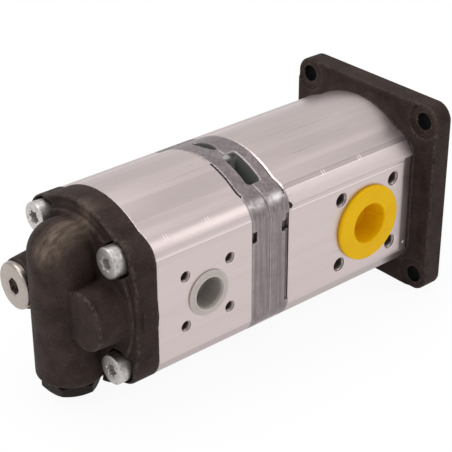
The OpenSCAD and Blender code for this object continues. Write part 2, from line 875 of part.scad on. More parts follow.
module front_idler_gear() {
    idler(x_gear_front_end, x_gear_front, x_plate, x_front);
}

module rear_idler_gear() {
    idler(x_gear_rear_end, x_gear_rear, x_cover, x_rear);
}

// Seal shaped like a 3 that fences off the pressure side of a block
module three_shape(grow) {
    r = block_r - block_seal_land;
    intersection() {
        difference() {
            gear_circles(r + grow);
            gear_circles(r - block_seal_w - grow);
        }
        translate([-2 * r, -2 * gear_c]) square([2 * r + block_seal_reach + grow, 4 * gear_c]);
    }
}

// Bearing block from x0 to x1, its back facing +X or, with back < 0, facing -X. Two small slots
// in its gear side let trapped oil out of the mesh
module block(x0, x1, back) {
    slot_y = 5.5;
    slot_w = 4;
    slot_h = 6;
    slot_l = 1.5;
    x_back = back > 0 ? x1 : x0;
    x_gear = back > 0 ? x0 : x1;
    color("#b9b7b4") difference() {
        along_x(x0, x1) gear_circles(block_r);
        along_x(x0 - 1, x1 + 1) gear_circles(bush_out_r);
        along_x(x_back - groove_t, x_back + groove_t) three_shape(0);
        for (v = [-1, 1]) translate([x_gear - slot_l, v * slot_y - slot_w / 2, body_z - slot_h / 2])
            cube([2 * slot_l, slot_w, slot_h]);
    }
}

module block_a() {
    block(x_front - outer_block_l, x_front, 1);
}

module block_b() {
    block(x_plate, x_block_b, -1);
}

module block_c() {
    block(x_rear - rear_block_l, x_rear, 1);
}

module block_d() {
    block(x_cover, x_block_d, -1);
}

module bushes(x_gear, back) {
    x0 = back > 0 ? x_gear + bush_setback : x_gear - bush_setback - bush_l;
    color(bush_colour) along_x(x0, x0 + bush_l) difference() {
        gear_circles(bush_out_r);
        gear_circles(bush_in_r);
    }
}

module bushes_a() {
    bushes(x_front - outer_block_l, 1);
}

module bushes_b() {
    bushes(x_block_b, -1);
}

module bushes_c() {
    bushes(x_rear - rear_block_l, 1);
}

module bushes_d() {
    bushes(x_block_d, -1);
}

module block_seal(x_back, back) {
    t = groove_t - backup_t;
    color(rubber_colour) along_x(back > 0 ? x_back - t : x_back, back > 0 ? x_back : x_back + t)
        three_shape(0);
}

module block_seal_a() {
    block_seal(x_front, 1);
}

module block_seal_b() {
    block_seal(x_plate, -1);
}

module block_seal_c() {
    block_seal(x_rear, 1);
}

module block_seal_d() {
    block_seal(x_cover, -1);
}

module backup_ring(x_back, back) {
    x0 = back > 0 ? x_back - groove_t : x_back + groove_t - backup_t;
    color("#d8d2c0") along_x(x0, x0 + backup_t) three_shape(0);
}

module backup_ring_a() {
    backup_ring(x_front, 1);
}

module backup_ring_b() {
    backup_ring(x_plate, -1);
}

module backup_ring_c() {
    backup_ring(x_rear, 1);
}

module backup_ring_d() {
    backup_ring(x_cover, -1);
}

module housing_seal(x0) {
    color(rubber_colour) housing_seal_shape(x0, x0 + groove_t);
}

module front_cover_seal() {
    housing_seal(x_front);
}

module front_plate_seal() {
    housing_seal(x_plate - groove_t);
}

module rear_plate_seal() {
    housing_seal(x_rear);
}

module rear_cover_seal() {
    housing_seal(x_cover - groove_t);
}

module valve_spool() {
    r = spool_d / 2;
    neck = r - 2.5;
    land_low = 0.4 * spool_l;
    land_high = 0.35 * spool_l;
    color(gear_colour) translate([x_column, 0, body_z + spool_bottom]) difference() {
        union() {
            cylinder(r = r, h = land_low);
            cylinder(r = neck, h = spool_l);
            translate([0, 0, spool_l - land_high]) cylinder(r = r, h = land_high);
        }
        translate([0, 0, -1]) cylinder(r = spring_r + wire_d, h = spool_pocket_l + 1);
    }
}

// Coil spring along Z: a wire of radius r swept round a helix, with closed ends
module coil(big_r, r, length, turns) {
    sides = 6;
    per_turn = 12;
    n = turns * per_turn;
    points = [
        for (i = [0:n]) let (a = 360 * i / per_turn, z = r + (length - 2 * r) * i / n)
            for (j = [0:sides - 1]) let (b = 360 * j / sides)
                [(big_r + r * cos(b)) * cos(a), (big_r + r * cos(b)) * sin(a), z + r * sin(b)]
    ];
    walls = [
        for (i = [0:n - 1]) for (j = [0:sides - 1]) let (k = (j + 1) % sides)
            [i * sides + j, i * sides + k, (i + 1) * sides + k, (i + 1) * sides + j]
    ];
    start = [for (j = [sides - 1:-1:0]) j];
    end = [for (j = [0:sides - 1]) n * sides + j];
    polyhedron(points, [for (f = concat([start], walls, [end])) [for (i = [len(f) - 1:-1:0]) f[i]]]);
}

module valve_spring() {
    color(steel_colour) translate([x_column, 0, body_z + valve_spring_z0])
        coil(spring_r, wire_d / 2, valve_spring_l, 7);
}

module hex_plug() {
    hex_turn = 37;
    color(iron_colour) translate([x_column, 0, body_z]) {
        rod_z(hex_plug_d / 2, -column_l - hex_seal_t, plug_top, 0);
        intersection() {
            translate([0, 0, -column_l - hex_seal_t - hex_h]) rotate(hex_turn)
                cylinder(r = hex_r, h = hex_h, $fn = 6);
            translate([0, 0, -column_l - hex_seal_t - hex_h])
                cylinder(r1 = hex_w / 2, r2 = hex_w / 2 + hex_h, h = hex_h);
        }
    }
}

module hex_plug_seal() {
    color(rubber_colour) translate([0, 0, body_z]) difference() {
        rod_z(hex_w / 2 - 0.5, -column_l - hex_seal_t, -column_l, x_column);
        rod_z(hex_plug_d / 2, -column_l - hex_seal_t - 1, -column_l + 1, x_column);
    }
}

module relief_seat() {
    color(steel_colour) translate([0, side_boss_y, body_z]) difference() {
        rod_x(poppet_d / 2 + valve_gap, relief_seat_x - relief_seat_l, relief_seat_x);
        rod_x(relief_hole_r, relief_seat_x - relief_seat_l - 1, relief_seat_x + 1);
    }
}

module relief_poppet() {
    r = poppet_d / 2;
    cone = 3;
    color(gear_colour) translate([0, side_boss_y, body_z]) difference() {
        union() {
            rod_x(r, poppet_x0, poppet_x1 - cone);
            translate([poppet_x1 - cone, 0, 0]) rotate([0, 90, 0])
                cylinder(r1 = r, r2 = relief_hole_r + 0.3, h = cone);
        }
        rod_x(relief_spring_r + wire_d, poppet_x0 - 1, poppet_x0 + poppet_pocket_l);
    }
}

module relief_spring() {
    color(steel_colour) translate([relief_spring_x0, side_boss_y, body_z]) rotate([0, 90, 0])
        coil(relief_spring_r, wire_d / 2, relief_spring_l, 4);
}

module relief_plug() {
    x_head = x_relief - relief_seal_t - relief_plug_h;
    chamfer = 0.8;
    r = relief_plug_d / 2;
    color("#d5d4d2") translate([0, side_boss_y, body_z]) difference() {
        union() {
            rod_x(relief_thread_d / 2, x_relief - relief_seal_t - 1, x_relief_end);
            rod_x(r, x_head + chamfer, x_relief - relief_seal_t);
            translate([x_head, 0, 0]) rotate([0, 90, 0])
                cylinder(r1 = r - chamfer, r2 = r, h = chamfer);
        }
        translate([x_head - 1, 0, 0]) rotate([0, 90, 0])
            cylinder(r = socket_w / 2 / cos(30), h = socket_l + 1, $fn = 6);
    }
}

module relief_plug_seal() {
    color("#b3a98f") translate([0, side_boss_y, body_z]) difference() {
        rod_x(relief_plug_d / 2 - 0.4, x_relief - relief_seal_t, x_relief);
        rod_x(relief_thread_d / 2, x_relief - relief_seal_t - 1, x_relief + 1);
    }
}

// Plastic cup that closes a port, on the -Y face or, with side > 0, on the +Y face
module port_plug(x, bore_d, plug_d, t, wall, side) {
    out = bore_d / 2 - plug_gap;
    in = out - wall;
    rim = plug_d / 2;
    floor_t = 1.2;
    edge = t / 3;
    mirror([0, side > 0 ? 1 : 0, 0]) translate([x, -port_y, body_z]) rotate([90, 0, 0]) rotate_extrude()
        polygon([[0, -plug_l], [out - 0.5, -plug_l], [out, 0.5 - plug_l], [out, 0], [rim, 0],
            [rim, t - edge], [rim - edge, t], [in + edge, t], [in, t - edge],
            [in, floor_t - plug_l], [0, floor_t - plug_l]]);
}

module front_port_plug() {
    color("#e0b40f") port_plug(-front_port_x, large_port_d, large_plug_d, large_plug_t, large_plug_wall, -1);
}

module rear_port_plug() {
    color("#d9d6cf") port_plug(-rear_port_x, small_port_d, small_plug_d, small_plug_t, small_plug_wall, -1);
}

module front_suction_plug() {
    color("#e0b40f") port_plug(-front_port_x, large_port_d, large_plug_d, large_plug_t, large_plug_wall, 1);
}

module rear_suction_plug() {
    color("#e0b40f") port_plug(-rear_port_x, large_port_d, large_plug_d, large_plug_t, large_plug_wall, 1);
}

front_cover();
front_housing();
front_plate();
rear_plate();
rear_housing();
rear_cover();
long_screws();
dowel_pins();
shaft_seal();
snap_ring();
front_drive_gear();
shaft_key();
coupling_sleeve();
rear_drive_gear();
front_idler_gear();
rear_idler_gear();
block_a();
block_b();
block_c();
block_d();
bushes_a();
bushes_b();
bushes_c();
bushes_d();
block_seal_a();
block_seal_b();
block_seal_c();
block_seal_d();
backup_ring_a();
backup_ring_b();
backup_ring_c();
backup_ring_d();
front_cover_seal();
front_plate_seal();
rear_plate_seal();
rear_cover_seal();
plate_ring();
valve_spool();
valve_spring();
hex_plug();
hex_plug_seal();
relief_seat();
relief_poppet();
relief_spring();
relief_plug();
relief_plug_seal();
front_port_plug();
rear_port_plug();
front_suction_plug();
rear_suction_plug();
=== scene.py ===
import json
import math
import bpy
import numpy as np
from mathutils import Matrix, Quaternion, Vector


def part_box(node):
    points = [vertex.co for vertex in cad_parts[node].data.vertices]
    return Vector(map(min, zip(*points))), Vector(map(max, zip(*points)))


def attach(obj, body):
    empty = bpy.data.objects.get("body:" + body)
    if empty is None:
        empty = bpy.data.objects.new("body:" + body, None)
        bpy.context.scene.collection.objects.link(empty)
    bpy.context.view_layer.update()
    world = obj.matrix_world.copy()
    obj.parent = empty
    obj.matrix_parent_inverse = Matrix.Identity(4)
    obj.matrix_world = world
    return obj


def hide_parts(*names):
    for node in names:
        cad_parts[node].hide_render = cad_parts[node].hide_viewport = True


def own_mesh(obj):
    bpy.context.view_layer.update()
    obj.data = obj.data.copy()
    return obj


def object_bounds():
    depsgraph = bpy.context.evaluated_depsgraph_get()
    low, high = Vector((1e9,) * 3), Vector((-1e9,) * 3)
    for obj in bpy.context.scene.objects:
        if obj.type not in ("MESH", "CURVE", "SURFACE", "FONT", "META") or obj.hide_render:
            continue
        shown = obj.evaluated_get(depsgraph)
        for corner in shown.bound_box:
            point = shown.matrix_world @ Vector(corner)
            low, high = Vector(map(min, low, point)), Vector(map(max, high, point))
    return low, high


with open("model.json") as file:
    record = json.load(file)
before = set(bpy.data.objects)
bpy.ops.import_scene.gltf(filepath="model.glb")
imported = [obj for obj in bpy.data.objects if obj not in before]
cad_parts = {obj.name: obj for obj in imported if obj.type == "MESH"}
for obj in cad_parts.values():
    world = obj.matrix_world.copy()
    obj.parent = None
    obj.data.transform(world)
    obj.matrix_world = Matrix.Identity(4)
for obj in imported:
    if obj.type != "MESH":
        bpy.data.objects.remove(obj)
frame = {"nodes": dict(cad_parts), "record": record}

cadBox = [list(corner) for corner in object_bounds()]
mm = 0.001
print("frame loaded:", len(frame["nodes"]), "nodes")


# Sizes are in mm here, and become metres when a mesh is made.
def low(node, axis):
    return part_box(node)[0][axis] / mm


def high(node, axis):
    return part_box(node)[1][axis] / mm


def middle(node, axis):
    return (low(node, axis) + high(node, axis)) / 2


midZ = middle("front_housing", 2)      # halfway between the drive gear and the idler gear
portY = high("rear_housing", 1)        # distance of the port faces from the shaft's plane
outline = {
    "arcR": 50.0, "cornerR": 14.2, "cornerZ": 25.8, "waistR": 14.0, "facet": (12.8, 50.0),
    "points": (30, 12, 40), "guard": 0.4,
}
screwAt = 30.0                         # distance of the long screws from the middle, both ways
screwHoleR = 5.5
quarters = [(v, w) for v in (-1, 1) for w in (-1, 1)]
screwPlaces = [(0, v * screwAt, midZ + w * screwAt) for v, w in quarters]
past = 1.0                             # how far a cutter reaches past the surface that it cuts
around = {"wire": 10, "tap": 28, "hole": 24, "nick": 32, "port": 96, "screw": 96, "plug": 144, "gear": 160}
arcPoints = 6                          # points on each rounded corner of a turned profile
nearlyStraight = -0.9999               # cosine of the widest corner that can still be rounded
joints = {
    "flangeFace": low("front_cover", 0),
    "plateFace": low("front_housing", 0),
    "seam": low("front_plate", 0),
    "rearFace": high("rear_housing", 0),
    "coverFace": low("rear_housing", 0),
}


# Meshes from arrays

def faceOutward(points, faceSets):
    # Each face set is an array with one row of point numbers per face. The signed volume, the sum of
    # the tetrahedra from the origin to each triangle, tells whether the faces have to be turned round.
    volume = 0.0
    for faces in faceSets:
        for k in range(1, faces.shape[1] - 1):
            a, b, c = points[faces[:, 0]], points[faces[:, k]], points[faces[:, k + 1]]
            volume += np.einsum("ij,ij->", a, np.cross(b, c))
    return [faces[:, ::-1] for faces in faceSets] if volume < 0 else list(faceSets)


def joined(parts):
    # Several closed shapes as one, each faced outward, its point numbers raised by the points before it.
    offset, points, sets = 0, [], []
    for p, *faces in parts:
        points.append(p)
        sets += [f + offset for f in faceOutward(p, faces)]
        offset += len(p)
    return [np.vstack(points), *sets]


def makeObject(name, points, *faceSets):
    points = np.asarray(points, float)
    faceSets = faceOutward(points, faceSets)
    loops = np.concatenate([faces.ravel() for faces in faceSets])
    totals = np.concatenate([np.full(len(faces), faces.shape[1]) for faces in faceSets])
    starts = np.concatenate([[0], np.cumsum(totals)[:-1]])
    mesh = bpy.data.meshes.new(name)
    mesh.vertices.add(len(points))
    mesh.vertices.foreach_set("co", (points * mm).astype(np.float32).ravel())
    mesh.loops.add(len(loops))
    mesh.loops.foreach_set("vertex_index", loops.astype(np.int32))
    mesh.polygons.add(len(totals))
    mesh.polygons.foreach_set("loop_start", starts.astype(np.int32))
    mesh.polygons.foreach_set("loop_total", totals.astype(np.int32))
    mesh.update(calc_edges=True)
    mesh.validate()
    piece = bpy.data.objects.new(name, mesh)
    bpy.context.scene.collection.objects.link(piece)
    return piece


def skinArrays(rows):
    # Rows of points, each a closed loop, joined by quads. The first and last rows become one pole each.
    n, m = rows.shape[:2]
    points = np.vstack([rows[:1, 0], rows[1:-1].reshape(-1, 3), rows[-1:, 0]])
    k = np.arange(m)
    after = (k + 1) % m
    base = 1 + m * np.arange(n - 3)[:, None]
    quads = np.stack([base + k, base + after, base + m + after, base + m + k], -1).reshape(-1, 4)
    start = np.stack([np.zeros(m, int), 1 + after, 1 + k], -1)
    last = 1 + (n - 3) * m
    end = np.stack([np.full(m, len(points) - 1), last + k, last + after], -1)
    return points, quads, start, end


def axisPoints(along, across, up, axis):
    # Points from a distance along the axis and two distances across it.
    order = {"x": (along, across, up), "y": (across, along, up), "z": (across, up, along)}[axis]
    return np.stack(np.broadcast_arrays(*order), -1)


def roundCorners(corners):
    # Each corner is (distance along, radius from the axis, rounding). A corner with rounding r becomes
    # an arc that touches both of its sides at r * tan(half the turn) from the corner.
    out = []
    for i, (s, r, rounding) in enumerate(corners):
        p = np.array([s, r], float)
        if rounding <= 0 or i in (0, len(corners) - 1):
            out.append(p[None])
            continue
        a = np.array(corners[i - 1][:2], float) - p
        b = np.array(corners[i + 1][:2], float) - p
        a /= np.linalg.norm(a)
        b /= np.linalg.norm(b)
        half = math.acos(np.clip(a @ b, nearlyStraight, 1)) / 2
        reach = rounding / math.tan(half)
        centre = p + (a + b) / np.linalg.norm(a + b) * rounding / math.sin(half)
        first, last = p + a * reach - centre, p + b * reach - centre
        turn = math.atan2(first[0] * last[1] - first[1] * last[0], first @ last)
        t = np.linspace(0, turn, arcPoints)[:, None]
        side = np.array([-first[1], first[0]])
        out.append(centre + first * np.cos(t) + side * np.sin(t))
    return np.vstack(out)


def turned(corners, axis, at, sides, shape=None):
    # A turned body: the profile carried round the axis. shape changes the radius with the angle:
    # shape(radius, angle, along) gives the new radius.
    profile = roundCorners(corners)
    angle = np.linspace(0, 2 * np.pi, sides, endpoint=False)
    radius = np.repeat(profile[:, 1:2], sides, 1)
    if shape:
        radius = shape(radius, angle[None], profile[:, :1])
    rows = axisPoints(profile[:, :1], radius * np.cos(angle), radius * np.sin(angle), axis)
    return skinArrays(rows + np.array(at, float))


def rod(r, start, end, axis, at, sides):
    return turned([(start, 0, 0), (start, r, 0), (end, r, 0), (end, 0, 0)], axis, at, sides)


def prism(profile, start, end, axis):
    # A closed outline of (across, up) points carried straight along the axis, its ends one face each.
    profile = np.asarray(profile, float)
    n = len(profile)
    k = np.arange(n)
    ends = [axisPoints(s, profile[:, 0], profile[:, 1], axis) for s in (start, end)]
    quads = np.stack([k, (k + 1) % n, n + (k + 1) % n, n + k], -1)
    return np.vstack(ends), quads, k[None, ::-1], n + k[None]


def carve(piece, *cutters):
    # Takes closed shapes away from the piece, one group of them at a time.
    for cutter in cutters:
        tool = makeObject("cutter", *cutter)
        step = piece.modifiers.new("carve", "BOOLEAN")
        step.object = tool
        step.solver = "EXACT"
        bpy.context.view_layer.update()
        shown = piece.evaluated_get(bpy.context.evaluated_depsgraph_get())
        mesh = bpy.data.meshes.new_from_object(shown)
        piece.modifiers.clear()
        piece.data = mesh
        bpy.data.objects.remove(tool)


def mark(piece, name, shade, domain="POINT"):
    # Stores shade(x, y, z), a number for each point or face centre in mm, as a named attribute.
    rows, key = (piece.data.vertices, "co") if domain == "POINT" else (piece.data.polygons, "center")
    places = np.empty(3 * len(rows), np.float32)
    rows.foreach_get(key, places)
    value = shade(*(places.reshape(-1, 3).T / mm))
    attribute = piece.data.attributes.new(name, "FLOAT", domain)
    attribute.data.foreach_set("value", np.asarray(value, np.float32))


def keepFlat(piece, area):
    # Faces larger than area, in square mm, are shaded flat.
    areas = np.empty(len(piece.data.polygons), np.float32)
    piece.data.polygons.foreach_get("area", areas)
    piece.data.polygons.foreach_set("use_smooth", areas < area * mm**2)


def finishPiece(piece, node, bodyName="casing", degrees=28):
    # The piece takes the place of its node and gets the node's material. Edges sharper than degrees stay
    # sharp.
    slotName = slotOf[node]
    piece.data.shade_smooth()
    piece.data.set_sharp_from_angle(angle=math.radians(degrees))
    piece.data.materials.clear()
    piece.data.materials.append(looks[slotName])
    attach(piece, bodyName)
    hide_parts(node)
    print(piece.name + ":", len(piece.data.polygons), "faces")


# Outlines

def waistCentre(grow):
    # The fillet's centre is where a circle of arcR + waistR about the middle meets one of
    # cornerR + waistR about the corner.
    corner = np.array([portY - outline["cornerR"], outline["cornerZ"]])
    big = outline["arcR"] + grow + outline["waistR"]
    small = outline["cornerR"] + grow + outline["waistR"]
    d = np.hypot(*corner)
    angle = math.atan2(corner[1], corner[0]) + math.acos((big**2 + d**2 - small**2) / (2 * big * d))
    return corner, big * np.array([math.cos(angle), math.sin(angle)])


def bodyField(y, z, grow=0.0):
    # Signed distance to the body's outline, worked out in one quarter: the large arc, then the waist,
    # then the corner, then the straight side. z is measured from the middle.
    corner, waist = waistCentre(grow)
    y, z = np.abs(y), np.abs(z)
    arc = np.hypot(y, z) - outline["arcR"] - grow
    rounded = np.hypot(y - corner[0], z - corner[1]) - outline["cornerR"] - grow
    hollowShade = outline["waistR"] - np.hypot(y - waist[0], z - waist[1])
    side = y - portY - grow
    onArc = z * waist[0] - y * waist[1] > 0
    toWaist = waist - corner
    onCorner = (y - corner[0]) * toWaist[1] - (z - corner[1]) * toWaist[0] > 0
    upper = np.where(onArc, arc, np.where(onCorner, rounded, hollowShade))
    return np.where(z < outline["cornerZ"], side, upper)


def bodyLoop(grow, flatness):
    # The same outline as points: one quarter as three arcs, mirrored into the other three. A point close
    # to each end of the straight side keeps the flat face flat when it is shaded. Between two angles the
    # corner is pressed towards a flat facet: each point moves the share flatness of its way onto the chord.
    corner, waist = waistCentre(grow)
    tilt = math.atan2(waist[1], waist[0])
    toCorner = math.atan2(*(waist - corner)[::-1])
    big, small = outline["arcR"] + grow, outline["cornerR"] + grow
    onArc, onWaist, onCorner = outline["points"]
    a = np.linspace(np.pi / 2, tilt, onArc)[1:]
    b = np.linspace(tilt - np.pi, toCorner - np.pi, onWaist)[1:-1]
    c = np.linspace(toCorner, 0, onCorner)
    bent = corner + small * np.stack([np.cos(c), np.sin(c)], -1)
    first, last = (math.radians(v) for v in outline["facet"])
    ends = [corner + small * np.array([math.cos(v), math.sin(v)]) for v in (first, last)]
    share = ((c - first) / (last - first))[:, None]
    chord = ends[0] + (ends[1] - ends[0]) * share
    pressed = flatness * ((share > 0) & (share < 1))
    bent += (chord - bent) * pressed
    quarter = np.vstack([
        np.stack([big * np.cos(a), big * np.sin(a)], -1),
        waist + outline["waistR"] * np.stack([np.cos(b), np.sin(b)], -1),
        bent,
        [[portY + grow, outline["cornerZ"] - outline["guard"]]],
    ])
    right = np.vstack([quarter, quarter[::-1] * [1, -1]])
    top, bottom = np.array([[0, big]]), np.array([[0, -big]])
    return np.vstack([top, right, bottom, right[::-1] * [-1, 1]])


# Solid fields, for the castings

def roundMax(a, b, r):
    # Overlap of two solids whose shared edge is rounded with radius r.
    return np.minimum(-r, np.maximum(a, b)) + np.hypot(np.maximum(r + a, 0), np.maximum(r + b, 0))


def filletMin(a, b, r):
    # Two solids joined with a fillet of radius r between them.
    return np.maximum(r, np.minimum(a, b)) - np.hypot(np.maximum(r - a, 0), np.maximum(r - b, 0))


def rectField(y, z, halfY, halfZ, r):
    # Signed distance to a rectangle with rounded corners.
    v, w = np.abs(y) - halfY + r, np.abs(z) - halfZ + r
    return np.hypot(np.maximum(v, 0), np.maximum(w, 0)) + np.minimum(np.maximum(v, w), 0) - r


def rodField(u, v, r):
    return np.hypot(u, v) - r


def outsideOf(value, limits):
    # Distance past the nearer of two limits, below zero between them.
    return np.abs(value - sum(limits) / 2) - (limits[1] - limits[0]) / 2


def screwHoles(y, z, r):
    # Distance to the four long screws' holes, folded into one quarter.
    return rodField(np.abs(y) - screwAt, np.abs(z) - screwAt, r)


def fieldObject(name, node, field, step, margin):
    # Surface of the solid where field is below zero. The field is sampled on a grid round the node's box,
    # each cell that the surface crosses gets one point, the mean of the crossings on its edges, and each
    # crossed edge gets one quad through the four cells around it. The attribute "bend" is the sum of the
    # field's second differences: above zero on outer edges and below zero in hollows.
    lowest = [low(node, k) - margin for k in range(3)]
    axes = [np.arange(a, high(node, k) + margin + s, s) for k, (a, s) in enumerate(zip(lowest, step))]
    grid = np.meshgrid(*axes, indexing="ij", sparse=True)
    shape = tuple(len(a) for a in axes)
    f = np.broadcast_to(field(*grid), shape).astype(np.float32)
    cells = tuple(k - 1 for k in shape)
    count = np.zeros(np.prod(cells))
    total = np.zeros((3, np.prod(cells)))
    crossed = []
    for axis in range(3):
        u, v = (axis + 1) % 3, (axis + 2) % 3
        before = np.take(f, range(shape[axis] - 1), axis)
        after = np.take(f, range(1, shape[axis]), axis)
        at = np.array(np.nonzero((before < 0) != (after < 0)))
        at = at[:, (at[u] > 0) & (at[u] < cells[u]) & (at[v] > 0) & (at[v] < cells[v])]
        a, b = before[tuple(at)], after[tuple(at)]
        point = at.astype(float)
        point[axis] += a / (a - b)
        four = []
        for du, dv in ((0, 0), (-1, 0), (-1, -1), (0, -1)):
            cell = at.copy()
            cell[u] += du
            cell[v] += dv
            flat = np.ravel_multi_index(tuple(cell), cells)
            four.append(flat)
            count += np.bincount(flat, minlength=len(count))
            for k in range(3):
                total[k] += np.bincount(flat, point[k], minlength=len(count))
        four = np.stack(four, -1)
        four[a >= 0] = four[a >= 0][:, ::-1]
        crossed.append(four)
    used = np.nonzero(count)[0]
    number = np.full(len(count), -1)
    number[used] = np.arange(len(used))
    places = (total[:, used] / count[used]).T
    piece = makeObject(name, np.array(lowest) + places * np.array(step), number[np.vstack(crossed)])
    bend = np.zeros(shape, np.float32)
    reach = 2
    for axis in range(3):
        ahead, behind = np.roll(f, -reach, axis), np.roll(f, reach, axis)
        bend += (ahead + behind - 2 * f) / (reach * step[axis]) ** 2
    near = tuple(np.clip(np.round(places[:, k]).astype(int), reach, shape[k] - 1 - reach) for k in range(3))
    attribute = piece.data.attributes.new("bend", "FLOAT", "POINT")
    attribute.data.foreach_set("value", np.clip(bend[near], -1, 1).astype(np.float32))
    return piece


# Materials

def startMaterial(name, colour, metallic, roughness, **extra):
    material = bpy.data.materials.new(name)
    material.use_nodes = True
    shader = material.node_tree.nodes["Principled BSDF"]
    shader.inputs["Base Color"].default_value = (*colour, 1)
    shader.inputs["Metallic"].default_value = metallic
    shader.inputs["Roughness"].default_value = roughness
    for key, value in extra.items():
        shader.inputs[key.replace("_", " ")].default_value = value
    return material, material.node_tree, shader


def addNode(tree, kind, inputs=None, **settings):
    # Each input is a plain value or another node's output.
    node = tree.nodes.new(kind)
    for key, value in settings.items():
        setattr(node, key, value)
    for key, value in (inputs or {}).items():
        if isinstance(value, bpy.types.NodeSocket):
            tree.links.new(value, node.inputs[key])
        else:
            node.inputs[key].default_value = value
    return node


def position(tree):
    return addNode(tree, "ShaderNodeTexCoord").outputs["Object"]


def split(tree, vector):
    return addNode(tree, "ShaderNodeSeparateXYZ", {"Vector": vector}).outputs


def noise(tree, scale, detail=3.0, rough=0.5, stretch=(1, 1, 1)):
    # Noise on object coordinates; stretch above 1 makes the pattern finer along that axis.
    wanted = {"Vector": position(tree), "Scale": stretch}
    mapped = addNode(tree, "ShaderNodeMapping", wanted).outputs["Vector"]
    wanted = {"Vector": mapped, "Scale": scale, "Detail": detail, "Roughness": rough}
    return addNode(tree, "ShaderNodeTexNoise", wanted).outputs["Fac"]


def spread(tree, value, fromLow, fromHigh, toLow=0.0, toHigh=1.0):
    # Maps a value from one range to another, and no further than its ends.
    wanted = {"Value": value, "From Min": fromLow, "From Max": fromHigh, "To Min": toLow, "To Max": toHigh}
    return addNode(tree, "ShaderNodeMapRange", wanted).outputs["Result"]


def blendColour(tree, factor, a, b):
    # The Mix node's colour inputs are its sockets 6 and 7, and its colour output is socket 2.
    a, b = ((*value, 1) if isinstance(value, tuple) else value for value in (a, b))
    return addNode(tree, "ShaderNodeMix", {0: factor, 6: a, 7: b}, data_type="RGBA").outputs[2]


def layered(tree, look, *layers):
    # The look's colours laid over its dark one in turn, each with its own share.
    colour = look["dark"]
    for share, key in layers:
        colour = blendColour(tree, share, colour, look[key])
    return colour


def calculate(tree, operation, a, b=0):
    return addNode(tree, "ShaderNodeMath", {0: a, 1: b}, operation=operation).outputs[0]


def times(tree, a, b):
    return calculate(tree, "MULTIPLY", a, b)


def connect(tree, shader, **outputs):
    for key, output in outputs.items():
        tree.links.new(output, shader.inputs[key.replace("_", " ")])


def addBump(tree, shader, height, distance, strength=1.0):
    # Bumps stack: a second call takes the first one's normal.
    wanted = {"Height": height, "Distance": distance, "Strength": strength}
    before = shader.inputs["Normal"].links
    if before:
        wanted["Normal"] = before[0].from_socket
    tree.links.new(addNode(tree, "ShaderNodeBump", wanted).outputs["Normal"], shader.inputs["Normal"])


def attributeOf(tree, name):
    return addNode(tree, "ShaderNodeAttribute", attribute_name=name).outputs["Fac"]


def pattern(tree, c):
    return spread(tree, noise(tree, *c["noise"]), *c["range"])


def relief(tree, shader, c):
    addBump(tree, shader, noise(tree, *c["noise"]), *c["bump"])


# In every look a noise is (scale, detail, roughness, stretch), a range is what becomes 0 and 1, or the two
# numbers that follow, and a bump is (distance, strength).
castIronLook = {
    "dark": (0.0235, 0.0140, 0.0121), "light": (0.042, 0.0265, 0.0230), "worn": (0.110, 0.090, 0.077),
    "hollowShade": (0.007, 0.0045, 0.0038), "hole": (0.002, 0.0015, 0.0013), "rubAndSheen": (0.235, 0.178, 0.136),
    "rubAndSheenY": -0.0065, "rubAndSheenHalf": 0.009, "rubAndSheenZ": (0.004, 0.014), "rubAndSheenX": (-0.198, -0.210), "rubAndSheenShare": 0.8,
    "clouds": {"noise": (90, 4, 0.6), "range": (0.35, 0.68)},
    "sand": {"noise": (900, 2, 0.6), "range": (0.5, 0.72, 0.0, 0.15)},
    "patches": {"noise": (420, 3, 0.7), "range": (0.42, 0.62)},
    "streaks": {"noise": (300, 4, 0.6, (0.25, 1.5, 1)), "range": (0.32, 0.72, 0.15, 1)},
    "swell": {"noise": (260, 2, 0.5), "bump": (0.0004, 0.5)},
    "grain": {"noise": (1100, 3, 0.65), "bump": (0.0003, 0.9), "range": (0.3, 0.7, 0.52, 0.72)},
    "edges": (0.15, 0.8, 0.0, 0.5), "hollows": (-0.05, -0.5, 0.0, 0.5), "roughness": 0.5, "gloss": 0.1,
}


def makeCastIron():
    # Phosphated sand casting: mottled brown-black, grainy, a little lighter on worn edges.
    look = castIronLook
    material, tree, shader = startMaterial(
        "castIron", look["dark"], 0.0, look["roughness"], Specular_IOR_Level=look["gloss"])
    bend = attributeOf(tree, "bend")
    edge = times(tree, spread(tree, bend, *look["edges"]), pattern(tree, look["patches"]))
    # the top of the dome is rubbed in a band along X, and painted lighter there as a highlight
    place = split(tree, position(tree))
    away = calculate(tree, "ABSOLUTE", calculate(tree, "SUBTRACT", place["Y"], look["rubAndSheenY"]))
    rubAndSheen = spread(tree, away, 0, look["rubAndSheenHalf"], look["rubAndSheenShare"], 0)
    for key, axis in (("rubAndSheenZ", "Z"), ("rubAndSheenX", "X")):
        rubAndSheen = times(tree, rubAndSheen, spread(tree, place[axis], *look[key]))
    rubAndSheen = times(tree, rubAndSheen, pattern(tree, look["streaks"]))
    # hollowShade is painted shade in the hollows, and hole is painted shade in the flange's bolt holes,
    # marked by "inside"
    colour = layered(
        tree, look, (pattern(tree, look["clouds"]), "light"), (pattern(tree, look["sand"]), "worn"),
        (edge, "worn"), (rubAndSheen, "rubAndSheen"), (spread(tree, bend, *look["hollows"]), "hollowShade"),
        (attributeOf(tree, "inside"), "hole"))
    connect(tree, shader, Base_Color=colour, Roughness=pattern(tree, look["grain"]))
    relief(tree, shader, look["swell"])
    relief(tree, shader, look["grain"])
    return material


